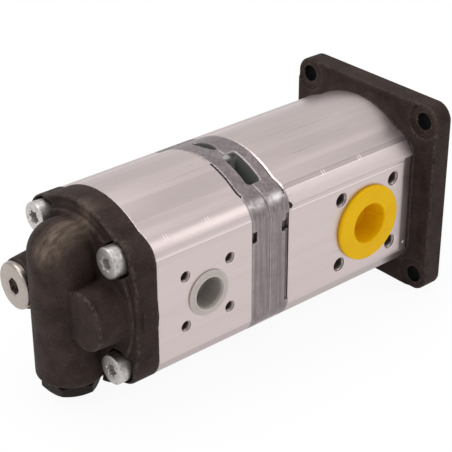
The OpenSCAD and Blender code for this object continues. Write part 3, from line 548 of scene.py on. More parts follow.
extrudedLook = {
    "base": (0.65, 0.558, 0.546), "baseRoughness": 0.33,
    "dark": (0.606, 0.518, 0.509), "light": (0.665, 0.572, 0.562), "cloud": (0.704, 0.612, 0.602),
    "scratch": (0.30, 0.26, 0.25), "paintedHighlight": (0.955, 0.86, 0.85), "hole": (0.040, 0.028, 0.024),
    "lines": {"noise": (420, 3, 0.6, (0.012, 1, 1)), "range": (0.3, 0.7), "bump": (0.00006, 0.5)},
    "clouds": {"noise": (60, 3, 0.55, (0.25, 1, 1)), "range": (0.3, 0.75, 0.0, 0.5)},
    "scratches": {"noise": (950, 1, 0.5, (0.025, 1, 1)), "range": (0.70, 0.73, 0, 0.42)},
    "places": {"noise": (35, 1, 0.5), "range": (0.52, 0.6)},
    "grain": {"noise": (2600, 2, 0.5), "bump": (0.00003, 0.35)},
    "roughness": (0.3, 0.7, 0.33, 0.42), "dull": (-0.1, -0.5, 0, 0.18),
}


def makeExtruded():
    # Satin extruded aluminium: faint die lines along X, soft clouds, fine grain.
    look = extrudedLook
    material, tree, shader = startMaterial("extrudedAluminium", look["base"], 1.0, look["baseRoughness"])
    # sparse handling scratches along X
    scratch = times(tree, pattern(tree, look["scratches"]), pattern(tree, look["places"]))
    # "inside" runs from 1, painted shade, to -1, painted highlight, and makes the surface duller below zero
    inside = attributeOf(tree, "inside")
    colour = layered(
        tree, look, (pattern(tree, look["lines"]), "light"), (pattern(tree, look["clouds"]), "cloud"),
        (scratch, "scratch"), (spread(tree, inside, 0, -1), "paintedHighlight"), (inside, "hole"))
    rough = spread(tree, noise(tree, *look["clouds"]["noise"]), *look["roughness"])
    rough = calculate(tree, "ADD", rough, spread(tree, inside, *look["dull"]))
    connect(tree, shader, Base_Color=colour, Roughness=rough)
    relief(tree, shader, look["lines"])
    relief(tree, shader, look["grain"])
    return material


dieCastLook = {
    "base": (0.27, 0.255, 0.25), "baseRoughness": 0.42,
    "dark": (0.250, 0.209, 0.215), "light": (0.360, 0.308, 0.315), "streak": (0.15, 0.126, 0.13),
    "edge": (0.56, 0.52, 0.515), "hollowShade": (0.05, 0.045, 0.045), "shoulderRubAndSheen": (0.68, 0.635, 0.645),
    "pocket": (0.17, 0.175, 0.165), "joint": (0.045, 0.036, 0.034), "pocketMetal": 0.3,
    "blotches": {"noise": (140, 4, 0.65), "range": (0.3, 0.7)},
    "streaks": {"noise": (700, 3, 0.6, (1, 1, 0.03)), "range": (0.42, 0.62, 0, 0.5)},
    "wear": {"noise": (190, 3, 0.55), "range": (0.40, 0.60)},
    "grain": {"noise": (900, 3, 0.6), "bump": (0.00009, 0.5)},
    "draw": {"noise": (500, 2, 0.5, (1, 1, 0.05)), "bump": (0.00006, 0.4)},
    "edges": (0.3, 1.0, 0.0, 0.5), "uneven": (0.3, 1), "hollows": (-0.1, -0.8, 0.0, 0.7),
    "roughness": (0.38, 0.5),
}


def makeDieCast():
    # Darker die-cast aluminium, blotchy and a little rough, with brighter rubbed edges.
    look = dieCastLook
    material, tree, shader = startMaterial("dieCastAluminium", look["base"], 1.0, look["baseRoughness"])
    blotch = pattern(tree, look["blotches"])
    bend = attributeOf(tree, "bend")
    rubbed = times(tree, spread(tree, bend, *look["edges"]), spread(tree, blotch, 0, 1, *look["uneven"]))
    # the shoulders are rubbed and carry a painted highlight, the pockets keep the dull casting skin
    # darkened by painted shade, the narrow joints are dark
    shoulderRubAndSheen = attributeOf(tree, "shoulderRubAndSheen")
    worn = times(tree, shoulderRubAndSheen, pattern(tree, look["wear"]))
    inside = attributeOf(tree, "inside")
    pocket = calculate(tree, "MINIMUM", inside, calculate(tree, "SUBTRACT", 1, shoulderRubAndSheen))
    # hollowShade is painted shade in the hollows
    colour = layered(
        tree, look, (blotch, "light"), (pattern(tree, look["streaks"]), "streak"),
        (rubbed, "edge"), (spread(tree, bend, *look["hollows"]), "hollowShade"), (worn, "shoulderRubAndSheen"),
        (pocket, "pocket"), (spread(tree, inside, 0, -1), "joint"))
    metal = spread(tree, inside, 0, 1, 1.0, look["pocketMetal"])
    rough = spread(tree, blotch, 0, 1, *look["roughness"])
    connect(tree, shader, Base_Color=colour, Metallic=metal, Roughness=rough)
    relief(tree, shader, look["grain"])
    relief(tree, shader, look["draw"])
    return material


zincLook = {
    "specks": {"noise": (750, 4, 0.65), "range": (0.36, 0.56)},
    "grain": {"noise": (1600, 2, 0.6), "bump": (0.00005, 0.4)}, "rougher": 0.14,
}


def makeZinc(name, colour, roughness, speckle):
    # Zinc-plated steel: bright crystals and small dull specks.
    look = zincLook
    material, tree, shader = startMaterial(name, colour, 1.0, roughness)
    specks = pattern(tree, look["specks"])
    darker = tuple(c * speckle for c in colour)
    rough = spread(tree, specks, 0, 1, roughness + look["rougher"], roughness)
    connect(tree, shader, Base_Color=blendColour(tree, specks, darker, colour), Roughness=rough)
    relief(tree, shader, look["grain"])
    return material


plasticLook = {
    "scale": 0.004, "radius": (1.0, 0.6, 0.35), "clouds": {"noise": (70, 2, 0.5), "range": (0.3, 0.7)},
    "peel": {"noise": (700, 2, 0.5), "bump": (0.00008, 0.35)},
    "swell": {"noise": (120, 1, 0.5), "bump": (0.0003, 0.25)}, "fade": 1.5,
}


def makePlastic(name, colour, deep, roughness, softness, gloss, inside=None):
    # Moulded polyethylene: waxy, with a fine orange-peel and slightly uneven colour. inside is the colour
    # of painted shade deep in a cup, full at the depth fade in mm.
    look = plasticLook
    material, tree, shader = startMaterial(
        name, colour, 0.0, roughness, Subsurface_Weight=softness, Subsurface_Scale=look["scale"],
        Specular_IOR_Level=gloss)
    shader.inputs["Subsurface Radius"].default_value = look["radius"]
    mixed = blendColour(tree, pattern(tree, look["clouds"]), deep, colour)
    if inside:
        across = split(tree, position(tree))["Y"]
        depth = spread(tree, across, -portY * mm, (look["fade"] - portY) * mm)
        mixed = blendColour(tree, depth, mixed, inside)
    connect(tree, shader, Base_Color=mixed)
    relief(tree, shader, look["peel"])
    relief(tree, shader, look["swell"])
    return material


plainLook = {
    "marks": (3, 0.6), "range": (0.3, 0.7), "rougher": 0.1, "grain": (2, 0.5), "bump": (0.00004, 0.4),
}


def makePlain(name, colour, metallic, roughness, scale=900, uneven=0.8, gloss=0.5):
    # For the small and the inner pieces: an even finish with fine machining grain.
    look = plainLook
    material, tree, shader = startMaterial(name, colour, metallic, roughness, Specular_IOR_Level=gloss)
    marks = spread(tree, noise(tree, scale, *look["marks"]), *look["range"])
    darker = tuple(c * uneven for c in colour)
    rough = spread(tree, marks, 0, 1, roughness + look["rougher"], roughness)
    connect(tree, shader, Base_Color=blendColour(tree, marks, darker, colour), Roughness=rough)
    addBump(tree, shader, noise(tree, scale, *look["grain"]), *look["bump"])
    return material


looks = {
    "cast_iron": makeCastIron(),
    "housing_aluminium": makeExtruded(),
    "plate_aluminium": makeDieCast(),
    "screw_steel": makeZinc("zincScrew", (0.62, 0.585, 0.568), 0.38, 0.68),
    "zinc_steel": makeZinc("zincPlug", (0.435, 0.382, 0.348), 0.26, 0.92),
    "plain_steel": makePlain("plainSteel", (0.42, 0.42, 0.43), 1.0, 0.35),
    "ground_steel": makePlain("groundSteel", (0.55, 0.55, 0.56), 1.0, 0.24),
    "seal_rubber": makePlain("sealRubber", (0.02, 0.02, 0.02), 0.0, 0.55),
    "block_aluminium": makePlain("blockAluminium", (0.6, 0.6, 0.6), 1.0, 0.4),
    "bush_bronze": makePlain("bushBronze", (0.42, 0.27, 0.12), 1.0, 0.4),
    "backup_plastic": makePlain("backupPlastic", (0.72, 0.66, 0.5), 0.0, 0.5),
    "hex_plug_steel": makePlain("blackSteel", (0.022, 0.0155, 0.0130), 0.0, 0.5, 700, 0.6, 0.15),
    "clear_plastic": makePlastic(
        "milkyPlastic", (0.54, 0.485, 0.455), (0.48, 0.43, 0.405), 0.3, 0.25, 0.3, (0.33, 0.305, 0.28)),
    "yellow_plastic": makePlastic("yellowPlastic", (0.84, 0.49, 0.001), (0.79, 0.45, 0.001), 0.4, 0.1, 0.1),
}
slotOf = {row["node"]: row["material_slot"] for row in frame["record"]["subparts"]}
for name, node in frame["nodes"].items():
    node.data.materials.clear()
    node.data.materials.append(looks[slotOf[name]])
print("materials made:", len(looks))


# Rear cover

rearCover = {
    "grow": 0.3, "t": 13.8, "edge": 1.5, "padR": 42.6, "padT": 1.2, "padEdge": 1.2, "ring": 0.5,
    "valleyR": 45.3, "valleyTube": 3.6, "valleyDepth": 1.1, "valleyEdge": 0.8,
    "columnR": 18.0, "columnX": -23.3, "domeZ": 24.5, "columnEnd": -43.5, "rim": 1.6, "fillet": 3.0,
    "bossY": 24.5, "blindFace": -31.8, "blindR": 15.3, "reliefFace": -34.5, "reliefR": 13.5,
    "draft": 0.055, "blindEdge": 0.6, "reliefEdge": 0.5, "bossFillet": 1.2,
    "seatR": 9.2, "seatX": -9.8, "seatEdge": 0.5,
    "lugW": 14.6, "lugT": 1.0, "lugL": 9.0, "lugRoot": 2, "lugEdge": 0.8, "lugFillet": 0.6,
    "hexFaceR": 16.5, "reliefFaceR": 13.0, "spoolR": 8.3, "spoolZ": (-31.5, 16.1),
    "reliefBoreR": 5.3, "reliefBoreX": (-36.0, -4.0), "step": (0.63, 0.63, 0.63), "margin": 1.2,
}


def rearCoverField(x, y, z):
    c = rearCover
    z = z - midZ
    x = x - joints["coverFace"]
    # the plate, a shallow ring-shaped valley in its back, and the round pad inside the valley
    rim = roundMax(bodyField(y, z, c["grow"]), -c["t"] - x, c["edge"])
    tubeX = x + c["t"] + c["valleyTube"] - c["valleyDepth"]
    tube = rodField(np.hypot(y, z) - c["valleyR"], tubeX, c["valleyTube"])
    rim = roundMax(rim, -tube, c["valleyEdge"])
    pad = roundMax(np.hypot(y, z) - c["padR"], -c["t"] - c["padT"] - x, c["padEdge"])
    plate = filletMin(rim, pad, c["ring"])
    # a slim half-round lug on the edge of the port side
    lugR = (c["lugW"] ** 2 / 4 + c["lugT"] ** 2) / (2 * c["lugT"])
    lug = np.maximum(rodField(y + portY + c["grow"] + c["lugT"] - lugR, z, lugR), np.abs(z) - c["lugW"] / 2)
    lug = np.maximum(roundMax(lug, -c["lugL"] - x, c["lugEdge"]), y + portY - c["lugRoot"])
    plate = filletMin(plate, lug, c["lugFillet"])
    # the valve column: upright, with a domed top and a rounded lower rim
    across = np.hypot(x - c["columnX"], y)
    column = np.hypot(across, np.maximum(z - c["domeZ"], 0)) - c["columnR"]
    column = roundMax(column, c["columnEnd"] - z, c["rim"])
    # bosses that widen towards the plate, the relief valve's twice as much
    blindR = c["blindR"] + c["draft"] * (x - c["blindFace"])
    blind = roundMax(rodField(y + c["bossY"], z, blindR), c["blindFace"] - x, c["blindEdge"])
    reliefR = c["reliefR"] + 2 * c["draft"] * (x - c["reliefFace"])
    valve = roundMax(rodField(y - c["bossY"], z, reliefR), c["reliefFace"] - x, c["reliefEdge"])
    bosses = np.minimum(blind, valve)
    solid = filletMin(plate, filletMin(column, bosses, c["bossFillet"]), c["fillet"])
    solid = np.maximum(solid, x)
    # screw seats, then the cuts that clear the two plugs
    seats = np.maximum(screwHoles(y, z, c["seatR"]), x - c["seatX"])
    solid = roundMax(solid, -seats, c["seatEdge"])
    cuts = np.minimum(
        np.maximum(rodField(x - c["columnX"], y, c["hexFaceR"]), z - c["columnEnd"]),
        np.maximum(rodField(y - c["bossY"], z, c["reliefFaceR"]), x - c["reliefFace"]),
    )
    bores = np.minimum(
        screwHoles(y, z, screwHoleR),
        np.minimum(
            np.maximum(rodField(x - c["columnX"], y, c["spoolR"]), outsideOf(z, c["spoolZ"])),
            np.maximum(rodField(y - c["bossY"], z, c["reliefBoreR"]), outsideOf(x, c["reliefBoreX"])),
        ),
    )
    return np.maximum(np.maximum(solid, -cuts), -bores)


piece = fieldObject("rearCover", "rear_cover", rearCoverField, rearCover["step"], rearCover["margin"])
finishPiece(piece, "rear_cover", degrees=60)


# Flange

flange = {
    "w": 107.0, "h": 113.6, "t": 12.5, "drop": 0.2, "cornerR": 10.0, "edge": 1.3, "frontEdge": 0.6,
    "bossFront": 1, "bossFillet": 4.5, "pilotR": 31.5, "pilotEdge": 0.8, "pilotRoot": 2,
    "holeW": 88.6, "holeH": 95.0, "holeR": 4.5, "holeEdge": 0.4, "holeShade": 0.35,
    "spotR": 9.5, "spotT": 1.0, "shaftR": 10.8, "sealR": 17.5, "grooveR": 18.6,
    "threadR": 5.0, "threadEnd": 2.5,
    "step": (0.72, 0.72, 0.72), "margin": 1.5,
}


def flangeHoles(y, z, r):
    return rodField(np.abs(y) - flange["holeW"] / 2, np.abs(z + flange["drop"]) - flange["holeH"] / 2, r)


def flangeField(x, y, z):
    c = flange
    z = z - midZ
    back, front = low("front_cover", 0), high("front_cover", 0)
    plateBack = -c["t"]
    outer = rectField(y, z + c["drop"], c["w"] / 2, c["h"] / 2, c["cornerR"])
    plate = roundMax(roundMax(outer, plateBack - x, c["edge"]), x, c["frontEdge"])
    boss = np.maximum(bodyField(y, z), back - x)
    boss = np.maximum(boss, x + c["bossFront"])
    solid = filletMin(plate, boss, c["bossFillet"])
    pilot = roundMax(rodField(y, z + midZ, c["pilotR"]), x - front, c["pilotEdge"])
    pilot = np.maximum(pilot, plateBack + c["pilotRoot"] - x)
    solid = np.minimum(np.maximum(solid, back - x), pilot)
    holes = flangeHoles(y, z, c["holeR"])
    spots = np.maximum(flangeHoles(y, z, c["spotR"]), x - plateBack - c["spotT"])
    solid = roundMax(solid, -np.minimum(holes, spots), c["holeEdge"])
    shaftLow = low("shaft_seal", 0)
    ringX, ringT = middle("snap_ring", 0), high("snap_ring", 0) - low("snap_ring", 0)
    shaft = rodField(y, z + midZ, c["shaftR"])
    seat = np.maximum(rodField(y, z + midZ, c["sealR"]), shaftLow - x)
    groove = np.maximum(rodField(y, z + midZ, c["grooveR"]), np.abs(x - ringX) - ringT / 2)
    solid = np.maximum(solid, -np.minimum(shaft, np.minimum(seat, groove)))
    threads = np.maximum(screwHoles(y, z, c["threadR"]), x + c["threadEnd"])
    return np.maximum(solid, -threads)


piece = fieldObject("mountingFlange", "front_cover", flangeField, flange["step"], flange["margin"])
# the attribute "inside" marks the bolt holes for painted shade
shadedR = flange["holeR"] + flange["holeShade"]
mark(piece, "inside", lambda x, y, z: flangeHoles(y, z - midZ, shadedR) < 0)
finishPiece(piece, "front_cover", degrees=60)


# Intermediate plates

plates = {
    "edge": 0.5, "seamEdge": 0.3, "floorR": 37.0, "sleeveR": 15.2,
    "step": (0.45, 0.62, 0.62), "margin": 1.2,
    "pocket": {"angles": (99, 125), "x": (-2.5, 6.3), "cornerR": 1.7, "floorEdge": 0.5, "edge": 0.7},
    "post": {"angle": 100.2, "x": -0.2, "r": 2.9, "drop": 0.7},
    "eye": {"angles": (70, 91), "x": (-3.0, 2.5), "floorUp": 4, "floorEdge": 1.0, "edge": 0.4},
    "slit": {"rear": (102, 131), "front": (106, 138), "t": 1.0, "depth": 1.5},
    "notch": {"z": (16.6, 22.4), "t": 3.0, "front": 5.3, "rear": 3.3, "edge": 0.3},
    "rabbet": {"x": 2.8, "y": 1.2},
}
plateShades = {
    "shoulderRubAndSheen": 42, "shoulderWidth": 9, "skin": 1, "endWall": 3.2, "endReach": 0.6, "paintedEndLight": 0.85,
    "below": -0.6, "pocketReach": 0.3, "rabbetReach": 0.1, "rabbet": -0.5,
}


def sectorField(y, z, angles):
    # Distance past the two lines through the middle that bound a sector between two angles.
    a, b = (math.radians(v) for v in angles)
    return np.maximum(y * math.sin(a) - z * math.cos(a), z * math.cos(b) - y * math.sin(b))


def platePocket(x, y, z):
    c = plates["pocket"]
    start, end = (v + joints["seam"] for v in c["x"])
    sector = sectorField(y, np.abs(z), c["angles"])
    box = roundMax(sector, outsideOf(x, (start, end)), c["cornerR"])
    return roundMax(box, plates["floorR"] - np.hypot(y, z), c["floorEdge"])


def plateEye(x, y, z):
    # An eye-shaped opening: u^2 + v^2 < 1, with u along the rim and v along X, each over its half size.
    c = plates["eye"]
    start, end = (v + joints["seam"] for v in c["x"])
    first, last = (math.radians(v) for v in c["angles"])
    u = (np.arctan2(np.abs(z), y) - (first + last) / 2) / ((last - first) / 2)
    v = (x - (start + end) / 2) / ((end - start) / 2)
    eye = (np.hypot(u, v) - 1) * (end - start) / 2
    return roundMax(eye, plates["floorR"] + c["floorUp"] - np.hypot(y, z), c["floorEdge"])


def plateField(x, y, z, start, end, front):
    c = plates
    z = z - midZ
    body = bodyField(y, z)
    startEdge, endEdge = (c["seamEdge"], c["edge"]) if front else (c["edge"], c["seamEdge"])
    solid = roundMax(roundMax(body, start - x, startEdge), x - end, endEdge)
    solid = roundMax(solid, -platePocket(x, y, z), c["pocket"]["edge"])
    solid = roundMax(solid, -plateEye(x, y, z), c["eye"]["edge"])
    # the post stands radially at one end of the pocket
    post = c["post"]
    tilt = math.radians(post["angle"])
    across = y * math.sin(tilt) - np.abs(z) * math.cos(tilt)
    post = np.maximum(rodField(x - joints["seam"] - post["x"], across, post["r"]), body + post["drop"])
    solid = np.minimum(solid, np.maximum(np.maximum(post, x - end), start - x))
    notch = c["notch"]
    notchZ = outsideOf(z, notch["z"])
    notchX = end - notch["front"] - x if front else x - start - notch["rear"]
    deep = y + portY - notch["t"]
    solid = roundMax(solid, -np.maximum(np.maximum(notchZ, notchX), deep), notch["edge"])
    if front:
        step = np.maximum(end - c["rabbet"]["x"] - x, portY - c["rabbet"]["y"] - np.abs(y))
        step = np.maximum(step, np.abs(z) - outline["cornerZ"])
        solid = np.maximum(solid, -step)
    slit = c["slit"]
    reach = end - slit["t"] - x if front else x - start - slit["t"]
    cut = np.maximum(sectorField(y, z, slit["front" if front else "rear"]), reach)
    solid = np.maximum(solid, -np.maximum(cut, outline["arcR"] - slit["depth"] - np.hypot(y, z)))
    inner = np.minimum(rodField(y, z + midZ, c["sleeveR"]), screwHoles(y, z, screwHoleR))
    return np.maximum(solid, -inner)


def shoulderAndEndSheen(x, y, z):
    # A bell curve of the angle round the corner, highest where the corner is rubbed and a painted highlight
    # lies.
    c = plateShades
    z = z - midZ
    corner, _ = waistCentre(0)
    v, w = np.abs(y) - corner[0], np.abs(z) - corner[1]
    angle = np.degrees(np.arctan2(w, v))
    bell = np.exp(-(((angle - c["shoulderRubAndSheen"]) / c["shoulderWidth"]) ** 2))
    rubbed = bell * (np.hypot(v, w) > outline["cornerR"] - c["skin"])
    # the end wall of the pocket with its post gets a painted highlight nearly as strong
    turn = np.degrees(np.arctan2(np.abs(z), y)) - plates["pocket"]["angles"][0]
    inPocket = (bodyField(y, z) < c["below"]) & (platePocket(x, y, z) < c["endReach"])
    return np.maximum(rubbed, c["paintedEndLight"] * (inPocket & (np.abs(turn) < c["endWall"])))


def plateShade(x, y, z, end, front):
    # 1 on the walls of the pockets, painted shade over the dull casting skin, below zero in the step beside
    # the front housing.
    c = plateShades
    z = z - midZ
    pocket = np.minimum(platePocket(x, y, z), plateEye(x, y, z)) < c["pocketReach"]
    below = bodyField(y, z) < c["below"]
    step = front & (x > end - plates["rabbet"]["x"] - c["rabbetReach"]) & (np.abs(z) < outline["cornerZ"])
    return np.where(step & below, c["rabbet"], 1.0 * (pocket & below))


def makePlate(name, node, start, end, front):
    def field(x, y, z):
        return plateField(x, y, z, start, end, front)

    piece = fieldObject(name, node, field, plates["step"], plates["margin"])
    mark(piece, "inside", lambda x, y, z: plateShade(x, y, z, end, front))
    mark(piece, "shoulderRubAndSheen", shoulderAndEndSheen)
    finishPiece(piece, node, degrees=55)


makePlate("frontPlate", "front_plate", joints["seam"], joints["plateFace"], True)
makePlate("rearPlate", "rear_plate", joints["rearFace"], joints["seam"], False)


# Housings

housings = {
    "gearR": 20.95, "dowelR": 3.0, "dowelY": 34.5, "dowelL": 5.2, "flatArea": 200,
    "portDepth": 34.0, "sink": 0.4, "tapDepth": 13.0, "perPitch": 6, "drillTip": 2, "waist": (58, 72),
    "round": {"l": 8.6, "r": 8.0, "tilt": 13.0, "reach": 28.7, "points": 10},
    "punch": {"r": 0.9, "t": 0.6, "x": -20.0, "z": -24.6},
    "nick": {"r": 1.6, "l": 2.4, "z": 29.2, "in": 0.4, "shadeOver": 0.5},
    "tick": {"l": 3.4, "w": 0.5, "gap": 1.7, "t": 0.22, "angle": 51.5},
    "sideTick": {"l": 1.5, "w": 0.4, "gap": 1.4, "t": 0.2, "z": -25.0},
}
taps = {8: {"pitch": 1.25, "cut": 0.7}, 6: {"pitch": 1.0, "cut": 0.55}}
# painted shade (above zero) and painted highlight (below zero) that the attribute "inside" holds in each
# place, and the tolerances that tell which faces lie there
paintedShades = {
    "wall": 1, "stroke": -1, "punch": -1, "nick": 0.5, "slope": -0.2, "sink": -0.5,
    "threads": {"from": 0.2, "over": 2.4, "least": -0.1},
}
margins = {"skin": 0.01, "stroke": 0.01, "punch": 0.02, "hole": 0.05, "port": 0.5, "slope": 0.1}


def tappedHole(d, x, z, side):
    # A threaded hole: its wall is a ridge that climbs one pitch a turn, under a small countersink.
    c = taps[d]
    sides, sink, depth = around["tap"], housings["sink"], housings["tapDepth"]
    s = np.arange(sink, depth, c["pitch"] / housings["perPitch"])[:, None]
    angle = np.linspace(0, 2 * np.pi, sides, endpoint=False)[None]
    phase = (s / c["pitch"] - angle / (2 * np.pi)) % 1
    ridge = 1 - np.abs(2 * phase - 1)
    wall = d / 2 - c["cut"] * ridge * np.clip((s - sink) / c["pitch"], 0, 1)
    wide = np.full((1, sides), d / 2 + sink)
    tip = np.full((1, sides), d / 2 - c["cut"])
    radius = np.vstack([wide * 0, wide, wide, wall, tip, tip * 0])
    along = np.vstack([[[-past]], [[-past]], [[0.0]], s, [[depth]], [[depth + housings["drillTip"]]]])
    rows = axisPoints(side * (portY - along), x + radius * np.cos(angle), z + radius * np.sin(angle), "y")
    return skinArrays(rows)


def tapReach(circle):
    # Distance of the port's screws from its middle, both ways.
    return circle / 2 * math.sin(math.radians(45))


def portCuts(x, bore, circle, tap, side):
    depth, reach = portY - housings["portDepth"], tapReach(circle)
    cuts = [rod(bore / 2, side * (portY + past), side * depth, "y", (x, 0, midZ), around["port"])]
    return cuts + [tappedHole(tap, x + v * reach, midZ + w * reach, side) for v, w in quarters]


def strokes(x, c):
    # Two short strokes side by side: scribed across the upper edge of the corner's facet, or upright on
    # the flat port side.
    if "angle" in c:
        corner, _ = waistCentre(0)
        tilt = math.radians(c["angle"])
        outward = np.array([-math.cos(tilt), math.sin(tilt)])
        along = np.array([math.sin(tilt), math.cos(tilt)])
        centre = corner * [-1, 1] + (outline["cornerR"] - c["t"]) * outward + [0, midZ]
        ends = ((-1, 0), (1, 0), (1, past), (-1, past))
        profile = [centre + a * along * c["l"] / 2 + b * outward for a, b in ends]
    else:
        z, half, outer, inner = midZ + c["z"], c["l"] / 2, -portY - past, -portY + c["t"]
        profile = [(outer, z - half), (inner, z - half), (inner, z + half), (outer, z + half)]
    starts = [x + k * c["gap"] - c["w"] / 2 for k in (-0.5, 0.5)]
    return [prism(profile, start, start + c["w"], "x") for start in starts]


def slopePoints(end):
    # Points (x, distance from the middle) of the front housing's port side at its end: an arc that touches
    # the flat side and runs on as a straight slope.
    c = housings["round"]
    tilt = math.radians(c["tilt"])
    t = np.linspace(0, tilt, c["points"])
    arc = np.stack([end - c["l"] + c["r"] * np.sin(t), portY - c["r"] * (1 - np.cos(t))], -1)
    lowest = arc[-1, 1] - (end + past - arc[-1, 0]) * math.tan(tilt)
    return np.vstack([arc, [[end + past, lowest]]])


def carveRoundedEnd(piece, end):
    # Both port sides fall away, and a centre punch mark is low on the near one.
    reach, punch, slope = housings["round"]["reach"], housings["punch"], slopePoints(end)
    face = np.vstack([[[slope[0, 0], portY + past]], slope, [[slope[-1, 0], portY + past]]])
    carve(piece, joined([prism(face * [1, side], midZ - reach, midZ + reach, "z") for side in (-1, 1)]))
    skin = np.interp(punch["x"], *slope[-2:].T)
    at = (punch["x"], 0, midZ + punch["z"])
    carve(piece, rod(punch["r"], -portY - past, punch["t"] - skin, "y", at, around["hole"]))


def carveNick(piece, start):
    nick = housings["nick"]
    at = (start + nick["in"], 0, midZ + nick["z"])
    carve(piece, rod(nick["r"], -portY - past, -portY + nick["l"], "y", at, around["nick"]))


def paintedHousingLight(x, y, z, ports, look):
    # Painted shade on the walls of the ports and, with the depth, of the tapped holes, a painted highlight
    # in the strokes, and painted steps between on the countersinks and on the bands, lighter or darker than
    # the rest; the lower corners and the waist get painted shade.
    shade = np.zeros_like(x)
    z = z - midZ
    depth = portY - np.abs(y)
    corner, _ = waistCentre(0)
    angle = np.degrees(np.arctan2(np.abs(z) - corner[1], np.abs(y) - corner[0]))
    onCorner = (np.abs(z) > corner[1]) & (np.abs(y) > corner[0])
    for first, last, value in look["paintedBands"]:
        shade[onCorner & (z > 0) & (angle > first) & (angle < last)] = value
    shade[onCorner & (z < 0) & (angle > outline["facet"][0])] = look["below"]
    rim = np.degrees(np.arctan2(np.abs(z), np.abs(y)))
    shade[(rim > housings["waist"][0]) & (rim < housings["waist"][1])] = look["waist"]
    for strokeX, c in look["ticks"]:
        near = np.abs(np.abs(x - strokeX) - c["gap"] / 2) < c["w"] / 2 + margins["stroke"]
        shade[near & (y < 0) & ((z > 0) if "angle" in c else (depth > 0))] = paintedShades["stroke"]
    for portX, bore, circle, tap, side in ports:
        away = np.hypot(np.abs(x - portX) - tapReach(circle), np.abs(z) - tapReach(circle))
        there = (away < tap / 2 + housings["sink"] + margins["hole"]) & (depth > -margins["skin"])
        there &= y * side > 0
        c = paintedShades["threads"]
        threads = np.clip(depth[there] / c["over"] - c["from"], c["least"], 1)
        shade[there] = np.where(depth[there] > housings["sink"], threads, paintedShades["sink"])
        inPort = (np.hypot(x - portX, z) < bore / 2 + margins["hole"]) & (depth > margins["port"])
        shade[inPort & (y * side > 0)] = paintedShades["wall"]
    return shade


def paintedEndLight(x, y, z, start, end, shade):
    # The front housing's slopes painted lighter and its punch mark a painted highlight at one end, and
    # painted shade in the nick at the other.
    punch, nick, slope = housings["punch"], housings["nick"], slopePoints(end)
    z = z - midZ
    side = np.abs(y)
    sloped = (x > slope[0, 0]) & (side < portY - margins["skin"]) & (side > slope[-1, 1] - margins["slope"])
    shade[sloped & (np.abs(z) < housings["round"]["reach"] - margins["slope"])] = paintedShades["slope"]
    away = np.hypot(x - punch["x"], z - punch["z"])
    shade[(away < punch["r"] + margins["punch"]) & (y < 0)] = paintedShades["punch"]
    away = np.hypot(x - start - nick["in"], z - nick["z"])
    floorY = nick["l"] + nick["shadeOver"] - portY
    shade[(away < nick["r"] + margins["hole"]) & (y < floorY)] = paintedShades["nick"]
    return shade


def makeHousing(name, node, start, end, ports, look):
    c = housings
    a, b = look["chamfers"]
    stationsX = [start, start, start + a, end - b, end, end]
    loops = [bodyLoop(-grow, look["flatness"]) for grow in (a, a, 0, 0, b, b)]
    rows = np.stack([axisPoints(s, l[:, 0], l[:, 1] + midZ, "x") for s, l in zip(stationsX, loops)])
    rows[0] = rows[-1] = 0
    rows[0, :, 0], rows[-1, :, 0] = start, end
    rows[0, :, 2] = rows[-1, :, 2] = midZ
    piece = makeObject(name, *skinArrays(rows))
    through = (start - past, end + past, "x")
    gears = [rod(c["gearR"], *through, (0, 0, z), around["gear"]) for z in (0.0, 2 * midZ)]
    inner = [rod(screwHoleR, *through, at, around["hole"]) for at in screwPlaces]
    for x in (start, end):
        inner += [rod(c["dowelR"], x - c["dowelL"], x + c["dowelL"], "x", (0, y, midZ), around["hole"])
                  for y in (-c["dowelY"], c["dowelY"])]
    outer = [cut for port in ports for cut in portCuts(*port)]
    outer += [cut for tick in look["ticks"] for cut in strokes(*tick)]
    carve(piece, *gears, joined(inner), joined(outer))
    if look["worked"]:
        carveRoundedEnd(piece, end)
        carveNick(piece, start)

    def shade(x, y, z):
        value = paintedHousingLight(x, y, z, ports, look)
        return paintedEndLight(x, y, z, start, end, value) if look["worked"] else value

    # the attribute "inside" holds the painted shade and painted highlights of the housing
    mark(piece, "inside", shade, "FACE")
    finishPiece(piece, node)
    keepFlat(piece, c["flatArea"])


frontPortX = middle("front_port_plug", 0)
rearPortX = middle("rear_port_plug", 0)
tick, sideTick = housings["tick"], housings["sideTick"]
# paintedBands are painted highlight below zero and painted shade above it on the upper corner; below is
# painted shade on the lower corners, waist painted shade on the waist
frontLook = {
    "chamfers": (0.8, 0.5), "flatness": 0.92, "waist": 0.03, "below": 0.2, "worked": True,
    "paintedBands": [(49, 53, 0.45), (53, 60, 0.25)], "ticks": [(-79.8, tick), (-53.3, tick)],
}
rearLook = {
    "chamfers": (0.4, 0.4), "flatness": 0.15, "waist": 0.08, "below": 0.2, "worked": False,
    "paintedBands": [(13, 16, -0.95), (16, 20, -0.5), (20, 26, -0.2)],
    "ticks": [(-183.7, tick), (-157.8, tick), (-136.8, sideTick)],
}
# each port: its place along X, its bore, its bolt circle, its tapped holes' size and its side
makeHousing(
    "frontHousing", "front_housing", joints["plateFace"], joints["flangeFace"],
    [(frontPortX, 26.0, 55.0, 8, -1), (frontPortX, 26.0, 55.0, 8, 1)], frontLook)
makeHousing(
    "rearHousing", "rear_housing", joints["coverFace"], joints["rearFace"],
    [(rearPortX, 20.0, 40.0, 6, -1), (rearPortX, 26.0, 55.0, 8, 1)], rearLook)


# Long screws

screws = {
    "headR": 8.0, "headH": 10.0, "shankR": 5.0, "round": 0.8, "seatRound": 0.4, "chamfer": 1,
    "lobeR": 3.9, "lobeIn": 1.15, "depth": 4.2, "tip": 1.4, "tipShare": 0.8, "floorEdge": 0.3,
    "rim": 0.5, "mouth": 0.35, "collar": 1.2, "fade": 0.8, "lobeEnd": 1.5,
}


